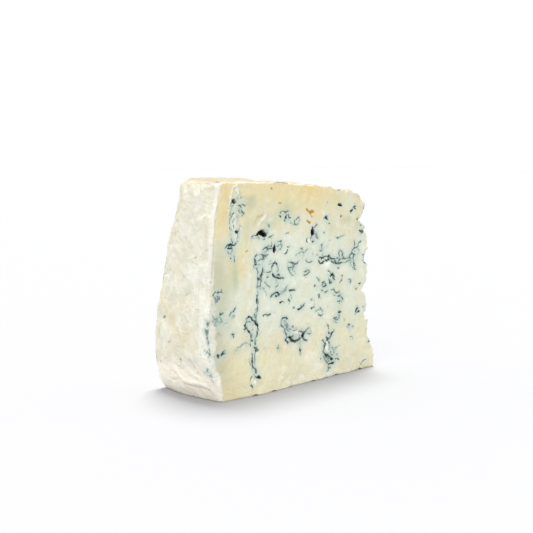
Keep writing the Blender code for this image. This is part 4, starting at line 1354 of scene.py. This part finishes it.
def top_relief(spots):
    """Relief of the top: waves, wrinkles, pleats by the rind and crumbs along the show face's edge."""
    wrinkles = TOP_WRINKLES * spots.rough(RIND_WRINKLES, WRINKLE_STRETCH)
    pleats = spots.rough(TOP_PLEATS, PLEAT_STRETCH) * smooth_step(*PLEAT_REACH, spots.to_rind)
    crumbs = sum(
        tall * MM * bump(spots.at, middle, half) * bump(spots.to_show / MM, CRUMB_IN, CRUMB_DEEP * half)
        for middle, half, tall in TOP_CRUMBS
    )
    return spots.rough(CUT_WAVES) + wrinkles + pleats + crumbs


def nicked(spots):
    """How far the nicks lift the foot of the show face."""
    nicks = sum(tall * MM * bump(spots.at, middle, half) for middle, half, tall in BASE_NICKS)
    near = bump(spots.to_show, 0, NICK_REACH) * np.exp(-spots.height / NICK_REACH)
    return nicks * near * (spots.sides["show"] | spots.sides["base"])


def with_relief(spots, looks):
    """The lattice's points with their relief, in metres from the wheel's axis."""
    sides, drawn_in = spots.sides, spots.drawn_in
    to_tip, to_rind = spots.to_tip, spots.to_rind
    to_base, to_top = spots.to_base, spots.to_top
    to_show, to_back = spots.to_show, spots.to_back
    cut = cut_relief(spots, looks)
    base_edge = drawn_in(BASE_SHARPNESS * to_base) / BASE_SHARPNESS
    show = sides["show"] * (cut + swelling(spots) - drawn_in(to_tip, to_rind, to_top) - base_edge)
    back = sides["back"] * (cut - drawn_in(to_tip, to_rind, to_base, to_top))
    rind = sides["rind"] * (rind_relief(spots, looks) - drawn_in(to_show, to_back) - base_edge)
    tip = sides["tip"] * (tip_relief(spots) - drawn_in(to_show, to_back, to_top))
    top = sides["top"] * (top_relief(spots) - drawn_in(to_show, to_back, to_tip))
    to_sharp = [BASE_SHARPNESS * distance for distance in (to_show, to_rind, to_tip)]
    foot = drawn_in(to_back) + drawn_in(*to_sharp) / BASE_SHARPNESS

    flat = np.stack([spots.x, spots.y])
    x, y = flat + (back - show) * spots.sideways + (rind - tip) * spots.outward
    z = np.where(sides["base"], foot, spots.height + top) + nicked(spots)
    return x, y, z


def skin_looks(spots, looks, x, y, z):
    """Adds where the rind's and the top's skins are, and the uneven band of rind along the cut faces."""
    sides, on_cut, high = spots.sides, spots.on_cut, spots.high
    more = BAND_MORE * smooth_step(*BAND_MORE_HIGH, high)
    less = BAND_LESS * smooth_step(*BAND_LESS_HIGH, high)
    band = BAND + more - less
    edge = spots.rim_depth + layered(x, y, z, BAND_FRAY)
    skin = (sides["rind"] | sides["top"] | sides["base"]) * 1.0
    looks["rind"] = np.where(on_cut, smooth_step(BAND_END * band, BAND_FULL * band, edge), skin)
    looks["rind"] = np.maximum(looks["rind"], smooth_step(*THIN_SKIN, spots.to_top) * on_cut)
    looks["pleat"] = smooth_step(*PLEAT_LOOK_REACH, spots.to_rind)
    to_cut = np.minimum(spots.to_show, spots.to_back)
    # The top share places the top's darker skin, which is painted shade against the lamp from above: on the
    # top, and on the rind's rim where it turns to face up
    inward = smooth_step(*RIM_INWARD, to_cut) * smooth_step(0, RIM_TIP, spots.to_tip)
    turned = (sides["rind"] & ~sides["top"]) * smooth_step(RIM_SHARE, 1, spots.up)
    looks["top"] = sides["top"] * inward + turned * np.maximum(inward, RIM_TOP)
    looks["top"] = np.maximum(looks["top"], np.where(on_cut, RIM_CUT_TOP, RIM_EDGE_TOP) * sides["top"])
    only_top = sides["top"] & ~sides["rind"]
    looks["rind"] = np.where(only_top, RIM_RIND + (1 - RIM_RIND) * inward, looks["rind"])


def paste_looks(spots, looks, x, y, z):
    """Adds the paste's own shares: mould behind the rind, a worn pale foot, and how yellow, low and dull."""
    on_cut, high, rim_depth = spots.on_cut, spots.high, spots.rim_depth
    behind_rind = on_cut * bump(rim_depth, *MOULD_DEPTH)
    levels = smooth_step(*MOULD_BELOW, high) * smooth_step(*MOULD_ABOVE, high)
    looks["bloom"] = np.maximum(looks["bloom"], RIND_MOULD * behind_rind * levels)
    worn = smooth_step(*WORN_SPOTS, noise(x, y, z, WORN_SIZE))
    pale_foot = WORN_FOOT * on_cut * worn * bump(spots.to_base / MM, *WORN_PLACE)
    looks["lip"] = np.maximum(looks["lip"], pale_foot)
    looks["yellow"] = np.clip(paste_yellowness(spots.at, high), 0, MOST_YELLOW)
    # The low share is full near the underside. It gives the paste its lower tone, and it gives the rind's
    # foot its painted light
    looks["low"] = smooth_step(*LOW_HIGH, high)
    dull = bump(rim_depth, *DULL_DEPTH) * smooth_step(*DULL_BELOW, high) * smooth_step(*DULL_ABOVE, high)
    looks["dull"] = on_cut * dull + TIP_DULL * spots.sides["show"] * smooth_step(*TIP_DULL_AT, spots.at)


def relief_and_looks(along, up, across):
    """The lattice's points on the wedge, in metres, and the named shares that its finish is made from."""
    spots = Spots(along, up, across)
    looks = {name: np.zeros_like(along) for name in FIELDS}
    cut_looks(spots, looks)
    rind_looks(spots, looks)
    tip_looks(spots, looks)
    x, y, z = with_relief(spots, looks)
    skin_looks(spots, looks, x, y, z)
    paste_looks(spots, looks, x, y, z)
    places = np.stack([x + AXIS_X, y, z], axis=-1)
    return places, {name: looks[name] for name in SHARES}


# Colours and nodes


def colour(red, green, blue):
    """A display colour from 0 to 255 as the linear light that a shader takes."""
    shares = np.array([red, green, blue]) / 255
    linear = np.where(shares > 0.04045, ((shares + 0.055) / 1.055) ** 2.4, shares / 12.92)
    return (*(float(value) for value in linear), 1.0)


COOL_PASTE = colour(222, 228, 211)
YELLOW_PASTE = colour(226, 214, 170)
GOLD_PASTE = colour(228, 208, 148)
DULL_PASTE = colour(194, 192, 160)
LOW_PASTE = colour(235, 230, 198)
BLOOM = colour(188, 206, 199)
TINT = colour(203, 216, 199)
GREEN_GREY = colour(186, 196, 162)
WHITE_CURD = colour(247, 246, 236)
TEAL = colour(93, 118, 109)
DARK_TEAL = colour(26, 38, 30)
BLACK_GREEN = colour(10, 14, 11)
OCHRE = colour(178, 140, 12)
RIND_WHITE = colour(224, 221, 204)
RIND_GREY = colour(210, 209, 195)
RIND_YELLOW = colour(218, 207, 170)
# Painted shade in the hollows between the rind's leaves
RIND_HOLLOW_PAINTED_SHADE = colour(200, 196, 174)
# Painted shade in the rind's creases
RIND_CREASE_PAINTED_SHADE = colour(176, 168, 140)
ROSE_RIND = colour(224, 213, 199)
# The rind's pale patches, and the painted highlight on its crests and on its folds' ridges
RIND_PALE_WHITE = colour(236, 235, 223)
# Painted light: the rind's foot faces down and gets less of the sky, so it is painted paler than the rind
# above it
FOOT_RIND_PAINTED_LIGHT = colour(246, 241, 226)
RIDGE_CREAM = colour(232, 231, 218)
# The top's skin colours hold painted shade. They are darker than the rind so that the top, which the lamp
# from above lights strongly, comes out as light as the rind. The pink of the pleats is the skin's own.
TOP_SKIN_PAINTED_SHADE = colour(162, 154, 132)
TOP_PINK_PAINTED_SHADE = colour(168, 148, 124)
SPECK = colour(150, 150, 128)


# What is mixed over the looks in turn: (share, where it starts to show, where it is full, how much, colour)
PASTE_PATCHES = (
    ("green", 0.0, 0.6, 0.75, GREEN_GREY),
    ("tint", 0.0, 0.9, 0.8, TINT),
)
PASTE_WHITES = (
    ("white", 0.1, 0.8, 1.0, WHITE_CURD),
    ("lip", 0.2, 0.8, 0.7, WHITE_CURD),
)
PASTE_OCHRE = (("ochre", 0.15, 0.75, 1.0, OCHRE),)
# Painted shade in the hollows between the leaves' crests, and a painted highlight on the crests
RIND_CREST_SHADE_AND_HIGHLIGHT = (
    ("crest_shade_and_highlight", 0.75, 0.3, 0.26, RIND_HOLLOW_PAINTED_SHADE),
    ("crest_shade_and_highlight", 0.72, 0.95, 0.5, RIND_PALE_WHITE),
)
RIND_RELIEF = (
    # Painted shade in the creases
    ("crease_shade", 0.2, 1.0, 0.55, RIND_CREASE_PAINTED_SHADE),
    ("ridge", 0.1, 0.7, 0.9, RIDGE_CREAM),
    # Painted light on the rind's foot
    ("low", 0.82, 1.0, 0.75, FOOT_RIND_PAINTED_LIGHT),
)
RIND_MOULDS = (
    ("bloom", 0.1, 1.0, 0.7, BLOOM),
    ("ink", 0.08, 0.7, 0.85, TEAL),
    ("ink", 0.55, 1.0, 0.8, DARK_TEAL),
    ("ochre", 0.15, 0.75, 0.8, OCHRE),
)


class Graph:
    """Adds nodes to a material's tree and joins them up."""

    def __init__(self, material):
        self.tree = material.node_tree
        self.coordinates = self.tree.nodes.new("ShaderNodeTexCoord").outputs["Object"]

    def join(self, value, socket):
        if isinstance(value, bpy.types.NodeSocket):
            self.tree.links.new(value, socket)
        else:
            socket.default_value = value

    def share(self, name):
        node = self.tree.nodes.new("ShaderNodeAttribute")
        node.attribute_name = name
        return node.outputs["Fac"]

    def noise(self, size, detail=2.0, stretch=(1, 1, 1)):
        mapping = self.tree.nodes.new("ShaderNodeMapping")
        mapping.inputs["Scale"].default_value = [1 / (size * share) for share in stretch]
        self.join(self.coordinates, mapping.inputs["Vector"])
        node = self.tree.nodes.new("ShaderNodeTexNoise")
        self.join(mapping.outputs["Vector"], node.inputs["Vector"])
        node.inputs["Scale"].default_value = 1.0
        node.inputs["Detail"].default_value = detail
        node.inputs["Roughness"].default_value = 0.5
        return node.outputs["Fac"]

    def ramp(self, value, low, high, first=0.0, last=1.0):
        node = self.tree.nodes.new("ShaderNodeMapRange")
        node.interpolation_type = "SMOOTHSTEP"
        self.join(value, node.inputs["Value"])
        node.inputs["From Min"].default_value = low
        node.inputs["From Max"].default_value = high
        node.inputs["To Min"].default_value = first
        node.inputs["To Max"].default_value = last
        return node.outputs["Result"]

    def math(self, operation, first, second=0.0):
        node = self.tree.nodes.new("ShaderNodeMath")
        node.operation = operation
        self.join(first, node.inputs[0])
        self.join(second, node.inputs[1])
        return node.outputs["Value"]

    def add(self, first, second):
        return self.math("ADD", first, second)

    def times(self, first, second):
        return self.math("MULTIPLY", first, second)

    def mix(self, share, first, second):
        node = self.tree.nodes.new("ShaderNodeMix")
        node.data_type = "RGBA"
        self.join(share, node.inputs["Factor"])
        self.join(first, node.inputs["A"])
        self.join(second, node.inputs["B"])
        return node.outputs["Result"]

    def covered(self, looks, layers):
        """The looks with the layers of a table mixed over them in turn."""
        for name, low, high, most, over in layers:
            looks = self.mix(self.ramp(self.share(name), low, high, 0.0, most), looks, over)
        return looks


def paste_colour(graph):
    """The cream paste, yellower under the rind and at the foot, and mottled."""
    mottle = graph.noise(0.011, 3.0, (1, 1, 1.6))
    streaks = graph.noise(0.0030, 2.0, (1, 1, 6))
    yellow = graph.add(graph.share("yellow"), graph.ramp(mottle, 0.3, 0.7, -0.22, 0.22))
    yellow = graph.add(yellow, graph.ramp(streaks, 0.3, 0.7, -0.07, 0.07))
    paste = graph.mix(graph.ramp(yellow, 0.0, 1.0), COOL_PASTE, YELLOW_PASTE)
    paste = graph.mix(graph.ramp(yellow, 1.0, MOST_YELLOW), paste, GOLD_PASTE)
    paste = graph.mix(graph.times(graph.share("low"), 0.6), paste, LOW_PASTE)
    pale = graph.ramp(graph.noise(0.006, 3.0), 0.54, 0.74, 0.0, 0.5)
    pale = graph.times(pale, graph.ramp(graph.share("yellow"), 0.5, 1.0, 1.0, 0.35))
    paste = graph.mix(pale, paste, WHITE_CURD)
    return graph.mix(graph.times(graph.share("dull"), 0.8), paste, DULL_PASTE)


def veined(graph, paste):
    """The mould's soft blue-grey bloom, its dark strokes and the black holes, over the paste."""
    fine = graph.noise(0.0010)
    medium = graph.noise(0.0032)
    bloom = graph.times(graph.share("bloom"), graph.ramp(medium, 0.25, 0.75, 0.6, 1.25))
    bloom = graph.times(bloom, graph.ramp(fine, 0.25, 0.75, 0.8, 1.2))
    looks = graph.covered(paste, PASTE_PATCHES)
    looks = graph.mix(graph.ramp(bloom, 0.0, 1.0, 0.0, 0.95), looks, BLOOM)
    looks = graph.covered(looks, PASTE_WHITES)
    flecks = graph.ramp(graph.noise(0.0015, 3.0, (1, 1, 0.7)), 0.55, 0.68)
    flecks = graph.times(flecks, graph.ramp(bloom, 0.3, 1.0))
    looks = graph.mix(graph.times(flecks, 0.55), looks, TEAL)
    ink = graph.times(graph.share("ink"), graph.ramp(fine, 0.25, 0.75, 0.6, 1.35))
    ink = graph.times(ink, graph.ramp(medium, 0.25, 0.75, 0.75, 1.2))
    looks = graph.mix(graph.ramp(ink, 0.12, 0.42, 0.0, 0.9), looks, TEAL)
    looks = graph.mix(graph.ramp(ink, 0.34, 0.76), looks, DARK_TEAL)
    looks = graph.covered(looks, PASTE_OCHRE)
    return graph.mix(graph.share("black"), looks, BLACK_GREEN)


def top_colour_painted_shade(graph):
    """The top's skin, brownish because it is painted darker as shade against the strong lamp from above, and
    pinker in its pleats.
    """
    pleats = graph.ramp(graph.noise(0.0045, 3.0, (3, 0.7, 1)), 0.42, 0.72, 0.0, 0.85)
    return graph.mix(graph.times(pleats, graph.share("pleat")), TOP_SKIN_PAINTED_SHADE, TOP_PINK_PAINTED_SHADE)


def rind_colour(graph):
    """The dry rind: off-white and grey, yellow in places, pinkish on top, with dark specks."""
    greys = graph.ramp(graph.noise(0.0045, 4.0, (1, 1, 1.3)), 0.35, 0.65, 0.0, 0.55)
    looks = graph.mix(greys, RIND_WHITE, RIND_GREY)
    yellows = graph.ramp(graph.noise(0.016, 3.0), 0.45, 0.75, 0.0, 0.35)
    looks = graph.mix(yellows, looks, RIND_YELLOW)
    # Painted shade and highlight of the leaves
    looks = graph.covered(looks, RIND_CREST_SHADE_AND_HIGHLIGHT)
    blotch = graph.ramp(graph.noise(0.006, 3.0), 0.3, 0.7, 0.55, 1.3)
    # The pale share holds the rind's pale patches and the painted highlight on its folds' ridges
    for name, over in (("blotch", RIND_YELLOW), ("pink", ROSE_RIND), ("pale", RIND_PALE_WHITE)):
        looks = graph.mix(graph.times(graph.share(name), blotch), looks, over)
    looks = graph.covered(looks, RIND_RELIEF)
    # Painted shade on the top, where the lamp from above lights it more
    looks = graph.mix(graph.share("top"), looks, top_colour_painted_shade(graph))
    specks = graph.ramp(graph.noise(0.0030, 1.0), 0.74, 0.80, 0.0, 0.5)
    specks = graph.times(specks, graph.ramp(graph.share("top"), 0.1, 0.5, 1.0, 0.0))
    looks = graph.mix(specks, looks, SPECK)
    return graph.covered(looks, RIND_MOULDS)


def surface_height(graph, rind):
    """The finest relief, as a height for the bump: grain and pores, and flakes on the rind."""
    grain = graph.noise(0.0011, 3.0, (1, 1, 1.8))
    pores = graph.noise(0.0040, 4.0)
    slopes = graph.math("SUBTRACT", graph.noise(0.0085, 2.0, (1, 1, 0.7)), 0.5)
    flakes = graph.ramp(graph.math("ABSOLUTE", slopes), 0.0, 0.14, 0.30, 0.0)
    return graph.add(graph.add(graph.times(grain, 0.35), pores), graph.times(flakes, rind))


def cheese_material():
    material = bpy.data.materials.new("cheese_surface")
    material.use_nodes = True
    graph = Graph(material)
    shader = material.node_tree.nodes["Principled BSDF"]
    ragged = graph.ramp(graph.noise(0.003), 0.3, 0.7, -0.2, 0.2)
    rind = graph.ramp(graph.add(graph.share("rind"), ragged), 0.25, 0.75)
    looks = graph.mix(rind, veined(graph, paste_colour(graph)), rind_colour(graph))
    graph.join(looks, shader.inputs["Base Color"])

    gloss = graph.ramp(graph.noise(0.004, 3.0), 0.3, 0.7, 0.40, 0.62)
    graph.join(graph.add(gloss, graph.times(rind, 0.25)), shader.inputs["Roughness"])
    shader.inputs["Subsurface Weight"].default_value = 0.25
    shader.inputs["Subsurface Radius"].default_value = (1.0, 0.75, 0.45)
    shader.inputs["Subsurface Scale"].default_value = 0.0015
    shader.inputs["Specular IOR Level"].default_value = 0.4

    bump_node = material.node_tree.nodes.new("ShaderNodeBump")
    bump_node.inputs["Strength"].default_value = 0.7
    bump_node.inputs["Distance"].default_value = 0.0014
    graph.join(surface_height(graph, rind), bump_node.inputs["Height"])
    graph.join(bump_node.outputs["Normal"], shader.inputs["Normal"])
    return material


def make_cheese():
    lattice = divided_cube()
    for reaches in HALVINGS:
        halve_cells(lattice, *reaches)
    places = np.array([vertex.co for vertex in lattice.verts])
    carried, looks = relief_and_looks(*places.T)
    for vertex, place in zip(lattice.verts, carried):
        vertex.co = place
    mesh = bpy.data.meshes.new("blue_cheese")
    lattice.to_mesh(mesh)
    lattice.free()
    for name, values in looks.items():
        attribute = mesh.attributes.new(name, "FLOAT", "POINT")
        attribute.data.foreach_set("value", values.astype(np.float32))
    mesh.shade_smooth()
    mesh.materials.append(cheese_material())
    cheese = bpy.data.objects.new("blue_cheese", mesh)
    bpy.context.scene.collection.objects.link(cheese)
    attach(cheese, "root")
    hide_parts("cheese_wedge")
    print("cheese triangles", sum(len(face.vertices) - 2 for face in mesh.polygons))


FLOOR_COLOUR = (0.429, 0.429, 0.439, 1)
FLOOR_HALF = 12


def make_floor():
    material = bpy.data.materials.new("pale_floor")
    material.use_nodes = True
    shader = material.node_tree.nodes["Principled BSDF"]
    shader.inputs["Base Color"].default_value = FLOOR_COLOUR
    shader.inputs["Roughness"].default_value = 0.9
    shader.inputs["Specular IOR Level"].default_value = 0.1
    mesh = bpy.data.meshes.new("floor")
    plane = bmesh.new()
    bmesh.ops.create_grid(plane, x_segments=1, y_segments=1, size=FLOOR_HALF)
    plane.to_mesh(mesh)
    plane.free()
    mesh.materials.append(material)
    floor = bpy.data.objects.new("floor", mesh)
    bpy.context.scene.collection.objects.link(floor)


SKY = 1.0
# Soft lamps: (name, share of the sky's light that it adds on the floor, height, direction it comes from,
# width)
LAMPS = (
    ("back", 1.15, math.radians(73.5), math.radians(39), math.radians(24)),
    ("left", 0.14, math.radians(35), math.radians(236), math.radians(40)),
)


def make_lights():
    """An even white sky and the soft lamps, whose directions are turned clockwise from +Y."""
    world = bpy.data.worlds.new("studio")
    world.use_nodes = True
    background = world.node_tree.nodes["Background"]
    background.inputs["Color"].default_value = (1, 1, 1, 1)
    background.inputs["Strength"].default_value = SKY
    bpy.context.scene.world = world
    for name, share, height, azimuth, width in LAMPS:
        light = bpy.data.lights.new(name, "SUN")
        light.energy = SKY * share * math.pi / math.sin(height)
        light.angle = width
        lamp = bpy.data.objects.new(name, light)
        lamp.rotation_euler = (math.pi / 2 - height, 0, math.pi - azimuth)
        bpy.context.scene.collection.objects.link(lamp)
    bpy.context.scene.view_settings.view_transform = "Standard"


CAMERA_PLACE = (-0.4563, -0.5479, 0.1440)
CAMERA_AZIMUTH = math.radians(39.025)
CAMERA_PITCH = math.radians(5.53)
CAMERA_LENS = 74.3


def make_camera():
    camera = bpy.data.cameras.new("camera")
    camera.lens = CAMERA_LENS
    stand = bpy.data.objects.new("camera", camera)
    stand.location = CAMERA_PLACE
    stand.rotation_euler = (math.pi / 2 - CAMERA_PITCH, 0, -CAMERA_AZIMUTH)
    bpy.context.scene.collection.objects.link(stand)
    bpy.context.scene.camera = stand


make_cheese()
make_floor()
make_lights()
make_camera()
